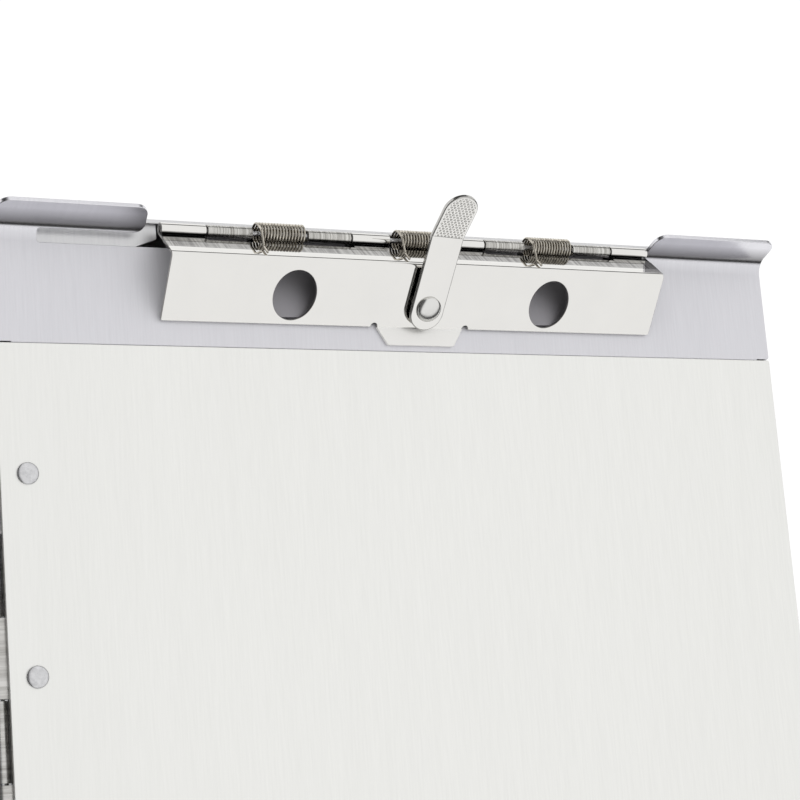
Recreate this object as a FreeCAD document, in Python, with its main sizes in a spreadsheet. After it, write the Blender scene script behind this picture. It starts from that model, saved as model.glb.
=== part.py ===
import FreeCAD, Part
import math
import os
import re
import Sketcher

Vector = FreeCAD.Vector
Rotation = FreeCAD.Rotation
Placement = FreeCAD.Placement

doc = FreeCAD.newDocument("storage_clipboard")
sheet = doc.addObject("Spreadsheet::Sheet", "sizes")

# Driving dimensions in millimetres and degrees. The board lies on its back with +Z out of the
# writing face and +Y towards the clip, and the origin is the centre of the tray's back face.
DIMENSIONS = (
    ("board_width", 240.0),
    ("board_length", 350.0),
    ("board_depth", 26.0),
    ("tray_sheet", 1.2),
    ("tray_bend", 2.0),
    ("rear_shelf_drop", 0.4),
    ("rear_shelf_gap", 0.3),
    ("rear_shelf_margin", 5.3),
    ("rear_shelf_nose", 6.0),
    ("rear_shelf_slant", 2.3),
    ("tray_corner", 3.0),
    ("thumb_notch_radius", 11.0),
    ("thumb_notch_depth", 7.0),
    ("thumb_notch_offset", 62.0),
    ("cover_sheet", 1.2),
    ("deck_front_flange", 6.0),
    ("deck_side_flange", 9.0),
    ("flange_corner_gap", 2.0),
    ("deck_to_rear_wall", 6.4),
    ("deck_reach", 26.2),
    ("lid_gap", 0.2),
    ("lid_corner", 3.0),
    ("lip_bend", 5.3),
    ("lip_angle", 68.0),
    ("lip_length", 7.2),
    ("left_lip_clearance", 4.7),
    ("right_lip_clearance", 1.3),
    ("lip_corner", 3.6),
    ("lip_slot_margin", 12.3),
    ("lip_slot_height", 2.4),
    ("rivet_shank", 1.5),
    ("rivet_head", 2.8),
    ("rivet_head_height", 0.8),
    ("rivet_hole_clearance", 0.03),
    ("deck_rivet_span", 14.0),
    ("deck_rivet_drop", 4.6),
    ("clip_width", 152.0),
    ("clip_sheet", 0.9),
    ("barrel_radius", 1.65),
    ("pin_radius", 0.7),
    ("pin_clearance", 0.05),
    ("hinge_behind_deck", 4.1),
    ("hinge_above_deck", 3.6),
    ("knuckle_gap", 0.4),
    ("centre_spring_share", 0.117),
    ("inner_blade_share", 0.157),
    ("inner_base_share", 0.173),
    ("side_spring_share", 0.209),
    ("outer_base_share", 0.173),
    ("pin_inset", 1.0),
    ("pin_overhang", 0.6),
    ("pin_head_height", 0.7),
    ("pin_head_radius", 1.8),
    ("flange_angle", 48.7),
    ("flange_length", 12.105),
    ("flange_notch", 3.8),
    ("face_angle", 36.4),
    ("face_length", 19.03),
    ("fold_inner_radius", 0.6),
    ("tab_length", 4.9),
    ("tab_root_width", 26.5),
    ("tab_tip_width", 20.6),
    ("tab_lift", 0.15),
    ("finger_hole_radius", 6.2),
    ("finger_hole_stretch", 1.9),
    ("finger_hole_share", 0.52),
    ("finger_hole_from_fold", 10.6),
    ("lever_from_fold", 12.2),
    ("lever_sheet", 1.2),
    ("lever_width", 9.9),
    ("lever_foot_drop", 1.45),
    ("lever_arm", 21.0),
    ("lever_rest_angle", 2.6),
    ("lever_pad", 13.9),
    ("lever_pad_angle", 18.1),
    ("lever_rivet_radius", 2.0),
    ("lever_play", 0.05),
    ("lever_head_radius", 3.6),
    ("lever_head_height", 1.5),
    ("lever_tail_radius", 3.2),
    ("lever_tail_height", 0.9),
    ("washer_radius", 3.6),
    ("washer_height", 1.1),
    ("wire_radius", 0.38),
    ("coil_radius", 2.74),
    ("coil_turns", 13.0),
    ("coil_end_gap", 0.34),
    ("leg_clearance", 0.3),
    ("leg_run", 3.4),
    ("leg_drop_run", 4.2),
    ("leg_end_from_fold", 1.3),
    ("leg_bend", 2.0),
    ("fixed_leg_angle", 33.0),
    ("fixed_leg_length", 10.0),
    ("base_plate_depth", 16.8),
    ("base_plate_setback", 1.0),
    ("base_rivet_share", 0.237),
    ("base_rivet_setback", 10.0),
    ("leaf_sheet", 0.8),
    ("leaf_width", 12.0),
    ("leaf_barrel_radius", 2.0),
    ("leaf_pin_radius", 1.0),
    ("leaf_knuckles", 15.0),
    ("leaf_end_margin", 8.0),
    ("leaf_rivets", 6.0),
    ("leaf_rivet_setback", 7.0),
    ("catch_length", 30.0),
    ("catch_height", 12.0),
    ("catch_sheet", 0.6),
    ("catch_bump_radius", 1.6),
    ("catch_gap", 0.5),
    ("tongue_sheet", 1.0),
    ("tongue_length", 24.0),
    ("tongue_drop", 11.0),
    ("tongue_foot", 9.0),
    ("catch_rivet_spacing", 18.0),
)
for row, (alias, number) in enumerate(DIMENSIONS, start=1):
    sheet.set("A%d" % row, alias)
    sheet.set("B%d" % row, repr(number))
    sheet.setAlias("B%d" % row, alias)
doc.recompute()

SIZE = dict((alias, float(sheet.get(alias))) for alias, number in DIMENSIONS)
PREFIX = dict((alias, "sizes." + alias) for alias in SIZE)


def tied(formula):
    """Writes a formula in the sheet's aliases as an expression that the document can follow."""
    return re.sub("[a-z_]+", lambda word: PREFIX.get(word[0], word[0]), formula)


def amount(formula):
    return float(sheet.evalExpression(tied(formula)))


def bind(thing, prop, formula):
    thing.setExpression(prop, tied(formula))


def box(name, corner, extent):
    """A block from its lowest corner and its extents along X, Y and Z, all formulas."""
    block = doc.addObject("Part::Box", name)
    for prop, formula in zip(("Length", "Width", "Height"), extent):
        bind(block, prop, formula)
    for axis, formula in zip("xyz", corner):
        bind(block, "Placement.Base." + axis, formula)
    return block


TURNS = {
    "x": Rotation(Vector(0, 1, 0), 90),
    "y": Rotation(Vector(1, 0, 0), -90),
    "z": Rotation(),
}


def rod(name, radius, start, length, along):
    """A cylinder from the centre of its first end, along one of the row's axes."""
    cylinder = doc.addObject("Part::Cylinder", name)
    cylinder.Placement = Placement(Vector(), TURNS[along])
    bind(cylinder, "Radius", radius)
    bind(cylinder, "Height", length)
    for axis, formula in zip("xyz", start):
        bind(cylinder, "Placement.Base." + axis, formula)
    return cylinder


def fuse(name, pieces):
    joined = doc.addObject("Part::MultiFuse", name)
    joined.Shapes = pieces
    joined.Refine = True
    return joined


def cut(name, base, tools):
    result = doc.addObject("Part::Cut", name)
    result.Base = base
    result.Tool = tools[0] if len(tools) == 1 else fuse(name + "_tools", tools)
    result.Refine = True
    return result


def group(name, pieces):
    """Identical separate solids that share one node."""
    whole = doc.addObject("Part::Compound", name)
    whole.Links = pieces
    return whole


def outline(body, name, plane, corners):
    """A closed sketch of straight runs, with each corner held by two tied distances."""
    sketch = body.newObject("Sketcher::SketchObject", name)
    support = [f for f in body.Origin.OriginFeatures if f.Role == plane][0]
    sketch.AttachmentSupport = [(support, "")]
    sketch.MapMode = "FlatFace"
    points = [(amount(across), amount(up)) for across, up in corners]
    count = len(points)
    for index, point in enumerate(points):
        following = points[(index + 1) % count]
        sketch.addGeometry(Part.LineSegment(Vector(*point, 0), Vector(*following, 0)))
    for index in range(count):
        sketch.addConstraint(Sketcher.Constraint("Coincident", index, 2, (index + 1) % count, 1))
    for index, corner in enumerate(corners):
        for kind, formula, value in zip(("DistanceX", "DistanceY"), corner, points[index]):
            held = sketch.addConstraint(Sketcher.Constraint(kind, -1, 1, index, 1, value))
            sketch.setExpression("Constraints[%d]" % held, tied(formula))
    return sketch


def pad(body, sketch, length, symmetric=True):
    feature = body.newObject("PartDesign::Pad", sketch.Name + "_pad")
    feature.Profile = sketch
    feature.SideType = "Symmetric" if symmetric else "One side"
    bind(feature, "Length", length)
    doc.recompute()
    return feature


def round_edges(body, base, name, radius, chosen):
    """Rounds the edges of the last feature whose middle and direction the rule accepts."""
    edges = []
    for number, edge in enumerate(base.Shape.Edges, start=1):
        middle = edge.valueAt((edge.FirstParameter + edge.LastParameter) / 2)
        if chosen(middle, edge.tangentAt(edge.FirstParameter)):
            edges.append("Edge%d" % number)
    feature = body.newObject("PartDesign::Fillet", name)
    feature.Base = (base, edges)
    bind(feature, "Radius", radius)
    doc.recompute()
    return feature


# Shared planes and lines, as formulas in the sheet's names.
half_width = "board_width / 2"
rear_face = "board_length / 2"
rear_inner = "board_length / 2 - tray_sheet"
deck_rear = "( %s - deck_to_rear_wall )" % rear_inner
deck_front = "( %s - deck_reach )" % deck_rear
rim = "( board_depth - cover_sheet )"
hinge_y = "( %s + hinge_behind_deck )" % deck_rear
hinge_z = "( board_depth + hinge_above_deck )"


def rivet(name, middle, grip, along):
    """A rivet through a stack of sheets: a shank with a flat round head at both ends."""
    index = "xyz".index(along)
    layers = (
        ("shank", "rivet_shank", "- ( %s + rivet_head_height ) / 2" % grip,
         "%s + rivet_head_height" % grip),
        ("head", "rivet_head", "+ ( %s ) / 2" % grip, "rivet_head_height"),
        ("tail", "rivet_head", "- ( %s ) / 2 - rivet_head_height" % grip, "rivet_head_height"),
    )
    parts = []
    for part, radius, offset, length in layers:
        start = list(middle)
        start[index] = "%s %s" % (middle[index], offset)
        parts.append(rod("%s_%s" % (name, part), radius, start, length, along))
    return fuse(name, parts)


def rivet_row(name, middles, grip, along):
    """Equal rivets in one node, and the clearance holes that their sheets get."""
    index = "xyz".index(along)
    rivets = []
    holes = []
    for number, middle in enumerate(middles):
        rivets.append(rivet("%s_%d" % (name, number), middle, grip, along))
        start = list(middle)
        start[index] = "%s - ( %s )" % (middle[index], grip)
        holes.append(rod("%s_hole_%d" % (name, number), "rivet_shank + rivet_hole_clearance",
                         start, "2 * ( %s )" % grip, along))
    return group(name, rivets), holes


# Tray: one folded sheet, with the rear wall level with the deck and two shelves bent in from it.
def tray_block(name, inset, floor, corner):
    body = doc.addObject("PartDesign::Body", name)
    across = "( %s - %s )" % (half_width, inset)
    along = "( %s - %s )" % (rear_face, inset)
    corners = (
        ("- " + across, "- " + along),
        (across, "- " + along),
        (across, along),
        ("- " + across, along),
    )
    sketch = outline(body, name + "_outline", "XY_Plane", corners)
    bind(sketch, "AttachmentOffset.Base.z", floor)
    block = pad(body, sketch, "%s - %s" % (rim, floor), symmetric=False)
    bottom = amount(floor)
    upright = round_edges(body, block, name + "_corners", corner,
                          lambda middle, run: abs(run.z) > 0.99)
    round_edges(body, upright, name + "_bends", "tray_bend - " + inset,
                lambda middle, run: abs(middle.z - bottom) < 1e-6)
    return body


tray_outside = tray_block("tray_outside", "0", "0", "tray_corner")
tray_inside = tray_block("tray_inside", "tray_sheet", "tray_sheet", "tray_corner - tray_sheet")
rear_rise = box(
    "tray_rear_rise",
    ("- %s + tray_corner" % half_width, rear_inner, rim),
    ("board_width - 2 * tray_corner", "tray_sheet", "cover_sheet"),
)
left_lip_end = "( clip_width / 2 + left_lip_clearance )"
right_lip_end = "( clip_width / 2 + right_lip_clearance )"
shelf_front = "( %s + rear_shelf_gap )" % deck_rear


def rear_shelf(side, sign, lip_end):
    """A shelf bent in from the rear wall under one lip, with a slanted nose towards the clip."""
    body = doc.addObject("PartDesign::Body", "tray_rear_shelf_" + side)
    outer = "%s ( %s - rear_shelf_margin )" % (sign, half_width)
    nose = "%s ( %s - rear_shelf_nose )" % (sign, lip_end)
    behind = "%s + tray_sheet / 2" % rear_inner
    sketch = outline(body, "tray_rear_shelf_%s_outline" % side, "XY_Plane", (
        (outer, shelf_front),
        ("%s %s" % (sign, lip_end), shelf_front),
        (nose, "%s + rear_shelf_slant" % shelf_front),
        (nose, behind),
        (outer, behind),
    ))
    bind(sketch, "AttachmentOffset.Base.z", "%s - rear_shelf_drop - tray_sheet" % rim)
    pad(body, sketch, "tray_sheet", symmetric=False)
    return body


rear_shelves = [rear_shelf("left", "-", left_lip_end), rear_shelf("right", "+", right_lip_end)]
lid_rear = "( %s - lid_gap / 2 )" % deck_front
lid_front = "( - %s )" % rear_face
leaf_start = "( %s + leaf_end_margin )" % lid_front
leaf_length = "( %s - %s - 2 * leaf_end_margin )" % (lid_rear, lid_front)
hinge_step = box(
    "tray_hinge_step",
    ("- %s" % half_width, "%s - knuckle_gap" % leaf_start, "%s - leaf_sheet" % rim),
    ("2 * tray_sheet", "%s + 2 * knuckle_gap" % leaf_length, "leaf_sheet"),
)
thumb_notch = rod(
    "tray_thumb_notch",
    "thumb_notch_radius",
    ("%s - 2 * tray_sheet" % half_width, "- thumb_notch_offset",
     "%s + thumb_notch_radius - thumb_notch_depth" % rim),
    "3 * tray_sheet",
    "x",
)

# Deck: a fixed cover across the tray's head, with flanges inside the tray and two guard lips
# bent up from its rear edge on either side of the clip.
deck_edge = "( %s + lid_gap / 2 )" % deck_front
wall_inner = "( %s - tray_sheet )" % half_width
deck_rivet_grip = "tray_sheet + cover_sheet"
deck_middle = "( %s + %s ) / 2" % (deck_edge, deck_rear)
deck_rivet_places = [
    ("%s ( %s - tray_sheet / 2 - cover_sheet / 2 )" % (side, half_width),
     "%s %s deck_rivet_span / 2" % (deck_middle, end),
     "%s - deck_rivet_drop" % rim)
    for side in ("-", "+") for end in ("-", "+")
]
deck_rivets, deck_rivet_holes = rivet_row(
    "deck_rivets", deck_rivet_places, deck_rivet_grip, "x")

deck_plate = box(
    "deck_plate",
    ("- %s" % half_width, deck_edge, rim),
    ("board_width", "%s - %s" % (deck_rear, deck_edge), "cover_sheet"),
)
deck_front_flange = box(
    "deck_front_flange_wall",
    ("- %s + cover_sheet + flange_corner_gap" % wall_inner, deck_edge, "%s - deck_front_flange" % rim),
    ("2 * ( %s - cover_sheet - flange_corner_gap )" % wall_inner, "cover_sheet", "deck_front_flange"),
)
deck_side_flanges = [
    box("deck_side_flange_" + side,
        (start, "%s + flange_corner_gap" % deck_edge, "%s - deck_side_flange" % rim),
        ("cover_sheet", "%s - %s - flange_corner_gap" % (deck_rear, deck_edge), "deck_side_flange"))
    for side, start in (("left", "- " + wall_inner), ("right", "%s - cover_sheet" % wall_inner))
]

# The lips' section: flat deck, bend and sloping lip, first with a sharp bend that is then rounded.
lip_cos = "cos(lip_angle * 1 deg)"
lip_sin = "sin(lip_angle * 1 deg)"
bend_run = "lip_bend * tan(lip_angle * 0.5 deg)"
bend_y = "( %s + %s )" % (deck_rear, bend_run)
slope = "( lip_length + %s )" % bend_run
lip_top = ("%s + %s * %s" % (bend_y, slope, lip_cos), "board_depth + %s * %s" % (slope, lip_sin))
lip_section = (
    ("%s - cover_sheet" % deck_rear, "board_depth"),
    (bend_y, "board_depth"),
    lip_top,
    ("%s + cover_sheet * %s" % (lip_top[0], lip_sin),
     "%s - cover_sheet * %s" % (lip_top[1], lip_cos)),
    ("%s + cover_sheet * tan(lip_angle * 0.5 deg)" % bend_y, rim),
    ("%s - cover_sheet" % deck_rear, rim),
)
lip_body = doc.addObject("PartDesign::Body", "lip_body")
lip_sketch = outline(lip_body, "lip_section", "YZ_Plane", lip_section)
lip_pad = pad(lip_body, lip_sketch, "board_width")
inside_bend = round_edges(
    lip_body, lip_pad, "lip_inside_bend", "lip_bend",
    lambda middle, run: abs(middle.y - amount(bend_y)) < 1e-6
    and abs(middle.z - amount("board_depth")) < 1e-6)
round_edges(
    lip_body, inside_bend, "lip_outside_bend", "lip_bend + cover_sheet",
    lambda middle, run: abs(middle.y - amount(lip_section[4][0])) < 1e-6
    and abs(middle.z - amount(rim)) < 1e-6)
clip_window = box(
    "deck_clip_window",
    ("- %s" % left_lip_end, deck_rear, "%s - deck_side_flange" % rim),
    ("%s + %s" % (left_lip_end, right_lip_end), "lip_length + 3 * lip_bend + 2 * cover_sheet",
     "deck_side_flange + 2 * lip_length"),
)
# The left lip hangs free of the deck over a slot, so that the clip's end can be reached.
slot_end = "( %s - lip_slot_margin )" % half_width
lip_slot = box(
    "deck_lip_slot",
    ("- %s" % slot_end, deck_rear, rim),
    ("%s - %s" % (slot_end, left_lip_end), "lip_length", "lip_slot_height"),
)


def round_lip_corners(name, base):
    """Rounds the upper corners of both lips, through the sheet."""
    doc.recompute()
    middle_y = (amount(lip_section[2][0]) + amount(lip_section[3][0])) / 2
    middle_z = (amount(lip_section[2][1]) + amount(lip_section[3][1])) / 2
    radius = amount("lip_corner")
    chosen = []
    for number, edge in enumerate(base.Shape.Edges, start=1):
        middle = edge.valueAt((edge.FirstParameter + edge.LastParameter) / 2)
        if abs(middle.y - middle_y) < 1e-4 and abs(middle.z - middle_z) < 1e-4:
            chosen.append((number, radius, radius))
    rounded = doc.addObject("Part::Fillet", name)
    rounded.Base = base
    rounded.Edges = chosen
    return rounded


# Clip base: a steel plate on the deck, with lugs that reach behind it and rise into knuckles.
# Each hinge station takes a share of the clip's half width.
clip_half = "( clip_width / 2 )"
station_shares = (
    "centre_spring_share",
    "inner_blade_share",
    "inner_base_share",
    "side_spring_share",
    "outer_base_share",
)


def step_edge(count):
    """Distance from the middle of the clip to the end of its first COUNT hinge stations."""
    return "( %s * ( %s ) )" % (clip_half, " + ".join(station_shares[:count]))


BASE_STATIONS = ((step_edge(2), step_edge(3)), (step_edge(4), step_edge(5)))
BLADE_STATIONS = ((step_edge(1), step_edge(2)), (step_edge(5), clip_half))


def both_sides(stations):
    """The stations on the right of the middle and their mirror images, as start and length."""
    spans = []
    for near, far in stations:
        length = "( %s - %s - knuckle_gap )" % (far, near)
        spans.append(("( %s + knuckle_gap / 2 )" % near, length))
        spans.append(("( - %s + knuckle_gap / 2 )" % far, length))
    return spans


plate_low = "board_depth"
plate_rear = "( %s - base_plate_setback )" % deck_rear
web_rear = "( %s + barrel_radius )" % hinge_y
base_pieces = [
    box("clip_base_flat",
        ("- %s" % step_edge(5), "%s - base_plate_depth" % plate_rear, plate_low),
        ("2 * %s" % step_edge(5), "base_plate_depth", "clip_sheet")),
]
for number, (start, length) in enumerate(both_sides(BASE_STATIONS)):
    base_pieces.append(box(
        "clip_base_lug_%d" % number,
        (start, "%s - clip_sheet" % plate_rear, plate_low),
        (length, "%s - %s + clip_sheet" % (web_rear, plate_rear), "clip_sheet")))
    base_pieces.append(box(
        "clip_base_web_%d" % number,
        (start, "%s - clip_sheet" % web_rear, plate_low),
        (length, "clip_sheet", "%s - %s" % (hinge_z, plate_low))))
    base_pieces.append(rod(
        "clip_base_knuckle_%d" % number, "barrel_radius", (start, hinge_y, hinge_z), length, "x"))
pin_bore = rod(
    "clip_pin_bore",
    "pin_radius + pin_clearance",
    ("- clip_width", hinge_y, hinge_z),
    "2 * clip_width",
    "x",
)
base_rivet_places = [
    ("%s base_rivet_share * clip_width" % factor, "%s - base_rivet_setback" % deck_rear,
     "%s + cover_sheet / 2 + clip_sheet / 2" % rim)
    for factor in ("- 1.5 *", "- 0.5 *", "0.5 *", "1.5 *")
]
base_rivets, base_rivet_holes = rivet_row(
    "base_rivets", base_rivet_places, "( cover_sheet + clip_sheet )", "z")
clip_base_plate = cut(
    "clip_base_plate", fuse("clip_base_blank", base_pieces), [pin_bore] + base_rivet_holes)
deck_blank = fuse(
    "deck_blank", [deck_plate, deck_front_flange] + deck_side_flanges + [lip_body])
deck_cut = cut(
    "deck_cut", deck_blank, [clip_window, lip_slot] + deck_rivet_holes + base_rivet_holes)
clip_deck = round_lip_corners("clip_deck", deck_cut)

pin_half = "( %s - pin_inset )" % clip_half
clip_hinge_pin = rod(
    "clip_hinge_pin", "pin_radius", ("- %s" % pin_half, hinge_y, hinge_z), "2 * %s" % pin_half, "x")

# Blade: flange and sloping face in one folded section, with the flange set back from the barrel
# and reaching it only in the rolled knuckles.
flange_cos = "cos(flange_angle * 1 deg)"
flange_sin = "sin(flange_angle * 1 deg)"
face_cos = "cos(face_angle * 1 deg)"
face_sin = "sin(face_angle * 1 deg)"
bore_radius = "( barrel_radius - clip_sheet )"


def on_flange(along, below):
    """A point of the section, ALONG the flange from the barrel and BELOW the hinge axis."""
    return (
        "( %s - %s * %s - %s * %s )" % (hinge_y, below, flange_sin, along, flange_cos),
        "( %s - %s * %s + %s * %s )" % (hinge_z, below, flange_cos, along, flange_sin),
    )


fold_y, fold_z = on_flange("flange_length", bore_radius)
fold_share = "clip_sheet / ( 1 + cos(flange_angle * 1 deg + face_angle * 1 deg) )"


def on_face(down, under):
    """A point of the section, DOWN the face from the fold and UNDER its outer surface."""
    return (
        "( %s - %s * %s + %s * %s )" % (fold_y, down, face_cos, under, face_sin),
        "( %s - %s * %s - %s * %s )" % (fold_z, down, face_sin, under, face_cos),
    )


fold_inside = (
    "%s + %s * ( %s - %s )" % (fold_y, fold_share, face_sin, flange_sin),
    "%s - %s * ( %s + %s )" % (fold_z, fold_share, face_cos, flange_cos),
)
blade_section = (
    on_flange("flange_notch", bore_radius),
    (fold_y, fold_z),
    on_face("face_length", "0"),
    on_face("face_length", "clip_sheet"),
    fold_inside,
    on_flange("flange_notch", "barrel_radius"),
)
blade_body = doc.addObject("PartDesign::Body", "blade_body")
blade_sketch = outline(blade_body, "blade_section", "YZ_Plane", blade_section)
blade_pad = pad(blade_body, blade_sketch, "clip_width")


def near_corner(corner):
    place = (amount(corner[0]), amount(corner[1]))
    return lambda middle, run: (abs(middle.y - place[0]) < 1e-5 and abs(middle.z - place[1]) < 1e-5)


blade_outer_fold = round_edges(
    blade_body, blade_pad, "blade_outer_fold", "fold_inner_radius + clip_sheet",
    near_corner((fold_y, fold_z)))
round_edges(
    blade_body, blade_outer_fold, "blade_inner_fold", "fold_inner_radius", near_corner(fold_inside))

# The press tab lies flat on the deck in front of the face's lower edge.
tab_root = "( %s )" % on_face("face_length", "clip_sheet")[0]
tab_rear = "( %s + clip_sheet )" % tab_root
tab_front = "( %s - clip_sheet * %s - tab_length )" % (tab_root, face_sin)
tab_body = doc.addObject("PartDesign::Body", "tab_body")
tab_sketch = outline(tab_body, "tab_outline", "XY_Plane", (
    ("- tab_root_width / 2", tab_rear),
    ("- tab_root_width / 2", "%s - clip_sheet * %s" % (tab_root, face_sin)),
    ("- tab_tip_width / 2", tab_front),
    ("tab_tip_width / 2", tab_front),
    ("tab_root_width / 2", "%s - clip_sheet * %s" % (tab_root, face_sin)),
    ("tab_root_width / 2", tab_rear),
))
bind(tab_sketch, "AttachmentOffset.Base.z", "board_depth + tab_lift")
pad(tab_body, tab_sketch, "clip_sheet", symmetric=False)

blade_pieces = [blade_body, tab_body]
web_foot_y, web_foot_z = on_flange("0", bore_radius)
for number, (start, length) in enumerate(both_sides(BLADE_STATIONS)):
    web = box(
        "blade_web_%d" % number,
        (start, web_foot_y, web_foot_z),
        (length, "flange_notch + clip_sheet", "clip_sheet"))
    web.Placement = Placement(web.Placement.Base, Rotation(Vector(1, 0, 0), 180 - SIZE["flange_angle"]))
    bind(web, "Placement.Rotation.Angle", "180 deg - flange_angle * 1 deg")
    blade_pieces.append(web)
    blade_pieces.append(rod(
        "blade_knuckle_%d" % number, "barrel_radius", (start, hinge_y, hinge_z), length, "x"))


def face_rod(name, radius, across, down, under, length):
    """A cylinder square to the face, from UNDER its outer surface outwards."""
    cylinder = doc.addObject("Part::Cylinder", name)
    cylinder.Placement = Placement(Vector(), Rotation(Vector(1, 0, 0), SIZE["face_angle"]))
    bind(cylinder, "Placement.Rotation.Angle", "face_angle * 1 deg")
    bind(cylinder, "Radius", radius)
    bind(cylinder, "Height", length)
    place = (across,) + on_face(down, under)
    for axis, formula in zip("xyz", place):
        bind(cylinder, "Placement.Base." + axis, formula)
    return cylinder


def stand_on_face(thing, across, down, above):
    """Turns a piece so that its own Z is square to the face, and stands it ABOVE the face."""
    thing.Placement = Placement(Vector(), Rotation(Vector(1, 0, 0), SIZE["face_angle"]))
    bind(thing, "Placement.Rotation.Angle", "face_angle * 1 deg")
    place = (across,) + on_face(down, "( - %s )" % above)
    for axis, formula in zip("xyz", place):
        bind(thing, "Placement.Base." + axis, formula)


def oval_cutter(side, across):
    """A round cutter through the face, stretched along its fall."""
    name = "blade_finger_hole_" + side
    depth = "3 * clip_sheet"
    cutter = fuse(name, [
        rod(name + "_upper", "finger_hole_radius", ("0", "finger_hole_stretch / 2", "0"), depth, "z"),
        rod(name + "_lower", "finger_hole_radius", ("0", "- finger_hole_stretch / 2", "0"), depth, "z"),
        box(name + "_middle", ("- finger_hole_radius", "- finger_hole_stretch / 2", "0"),
            ("2 * finger_hole_radius", "finger_hole_stretch", depth)),
    ])
    stand_on_face(cutter, across, "finger_hole_from_fold", "( - 2 * clip_sheet )")
    return cutter


hole_offset = "finger_hole_share * clip_width / 2"
finger_holes = [oval_cutter("left", "- " + hole_offset), oval_cutter("right", hole_offset)]
blade_rivet_hole = face_rod(
    "blade_rivet_hole", "lever_rivet_radius + rivet_hole_clearance", "0", "lever_from_fold",
    "2 * clip_sheet", "3 * clip_sheet")
clip_blade = cut(
    "clip_blade", fuse("blade_blank", blade_pieces), [pin_bore, blade_rivet_hole] + finger_holes)

# Lever, washer and rivet, stacked square to the face. The rivet's dome is the cap of a sphere.
stack_top = "( washer_height + lever_sheet + 2 * lever_play )"
dome_radius = "( ( lever_head_radius ^ 2 + lever_head_height ^ 2 ) / ( 2 * lever_head_height ) )"
dome_depth = "( %s - lever_head_height )" % dome_radius


rivet_dome = doc.addObject("Part::Sphere", "lever_rivet_dome")
bind(rivet_dome, "Radius", dome_radius)
bind(rivet_dome, "Angle1", "asin(%s / %s)" % (dome_depth, dome_radius))
stand_on_face(rivet_dome, "0", "lever_from_fold", "( %s - %s )" % (stack_top, dome_depth))
lever_rivet = fuse("lever_rivet", [
    face_rod("lever_rivet_shank", "lever_rivet_radius", "0", "lever_from_fold",
             "( clip_sheet + lever_tail_height / 2 )",
             "clip_sheet + lever_tail_height / 2 + %s + lever_head_height / 2" % stack_top),
    face_rod("lever_rivet_tail", "lever_tail_radius", "0", "lever_from_fold",
             "( clip_sheet + lever_tail_height )", "lever_tail_height"),
    rivet_dome,
])
washer_hole = "lever_rivet_radius + rivet_hole_clearance"
lever_washer = cut(
    "lever_washer",
    face_rod("lever_washer_disc", "washer_radius", "0", "lever_from_fold", "0", "washer_height"),
    [face_rod("lever_washer_bore", washer_hole, "0", "lever_from_fold", "clip_sheet",
              "washer_height + 2 * clip_sheet")],
)

# The lever lies along its own Y from the rivet, with its pad bent up from the arm's end. At rest
# it is turned a little to the right about the rivet.
lever_pieces = [
    rod("lever_foot", "lever_width / 2", ("0", "- lever_foot_drop", "0"), "lever_sheet", "z"),
    box("lever_arm_bar", ("- lever_width / 2", "- lever_foot_drop", "0"),
        ("lever_width", "lever_arm + lever_foot_drop", "lever_sheet")),
]
lever_pad_plate = fuse("lever_pad_plate", [
    box("lever_pad_bar", ("- lever_width / 2", "0", "0"),
        ("lever_width", "lever_pad - lever_width / 2", "lever_sheet")),
    rod("lever_pad_tip", "lever_width / 2", ("0", "lever_pad - lever_width / 2", "0"),
        "lever_sheet", "z"),
])
lever_pad_plate.Placement = Placement(Vector(), Rotation(Vector(1, 0, 0), SIZE["lever_pad_angle"]))
bind(lever_pad_plate, "Placement.Rotation.Angle", "lever_pad_angle * 1 deg")
bind(lever_pad_plate, "Placement.Base.y", "lever_arm")
lever_blank = fuse("lever_blank", lever_pieces + [lever_pad_plate])
lever_blank.Placement = Placement(Vector(), Rotation(Vector(0, 0, -1), SIZE["lever_rest_angle"]))
bind(lever_blank, "Placement.Rotation.Angle", "lever_rest_angle * 1 deg")
thumb_lever = cut(
    "thumb_lever",
    lever_blank,
    [rod("lever_bore", "lever_rivet_radius + lever_play", ("0", "0", "- lever_sheet"),
         "3 * lever_sheet", "z")],
)
stand_on_face(thumb_lever, "0", "lever_from_fold", "( washer_height + lever_play )")


# Torsion springs. The wire comes down from the blade's flange, winds round the pin and leaves
# forwards under the deck. Its centre line is arcs and straight runs, tangent throughout.
def arc_edge(start, heading, end):
    """The circular arc that leaves START along HEADING and ends at END."""
    chord = end - start
    normal = heading.cross(chord)
    inward = normal.cross(heading).normalize()
    radius = chord.dot(chord) / (2 * chord.dot(inward))
    centre = start + inward * radius
    outward = (start + end) * 0.5 - centre
    return Part.Arc(start, centre + outward.normalize() * radius, end).toShape()


def biarc(start, heading, end, leaving):
    """Two tangent arcs that join two points with given directions."""
    chord = end - start
    both = chord.dot(heading + leaving)
    square = 2 * (1 - heading.dot(leaving))
    reach = (-both + math.sqrt(both * both + square * chord.dot(chord))) / square
    first = start + heading * reach
    second = end - leaving * reach
    middle = (first + second) * 0.5
    return [arc_edge(start, heading, middle), arc_edge(middle, (second - first).normalize(), end)]


def bent_run(points, radius):
    """Straight runs through the points, with an arc of one radius at each inner corner."""
    edges = []
    last = points[0]
    for before, corner, after in zip(points, points[1:], points[2:]):
        arriving = (corner - before).normalize()
        leaving = (after - corner).normalize()
        run = radius * math.tan(arriving.getAngle(leaving) / 2)
        touch = corner - arriving * run
        edges.append(Part.LineSegment(last, touch).toShape())
        last = corner + leaving * run
        edges.append(arc_edge(touch, arriving, last))
    edges.append(Part.LineSegment(last, points[-1]).toShape())
    return edges


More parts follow.
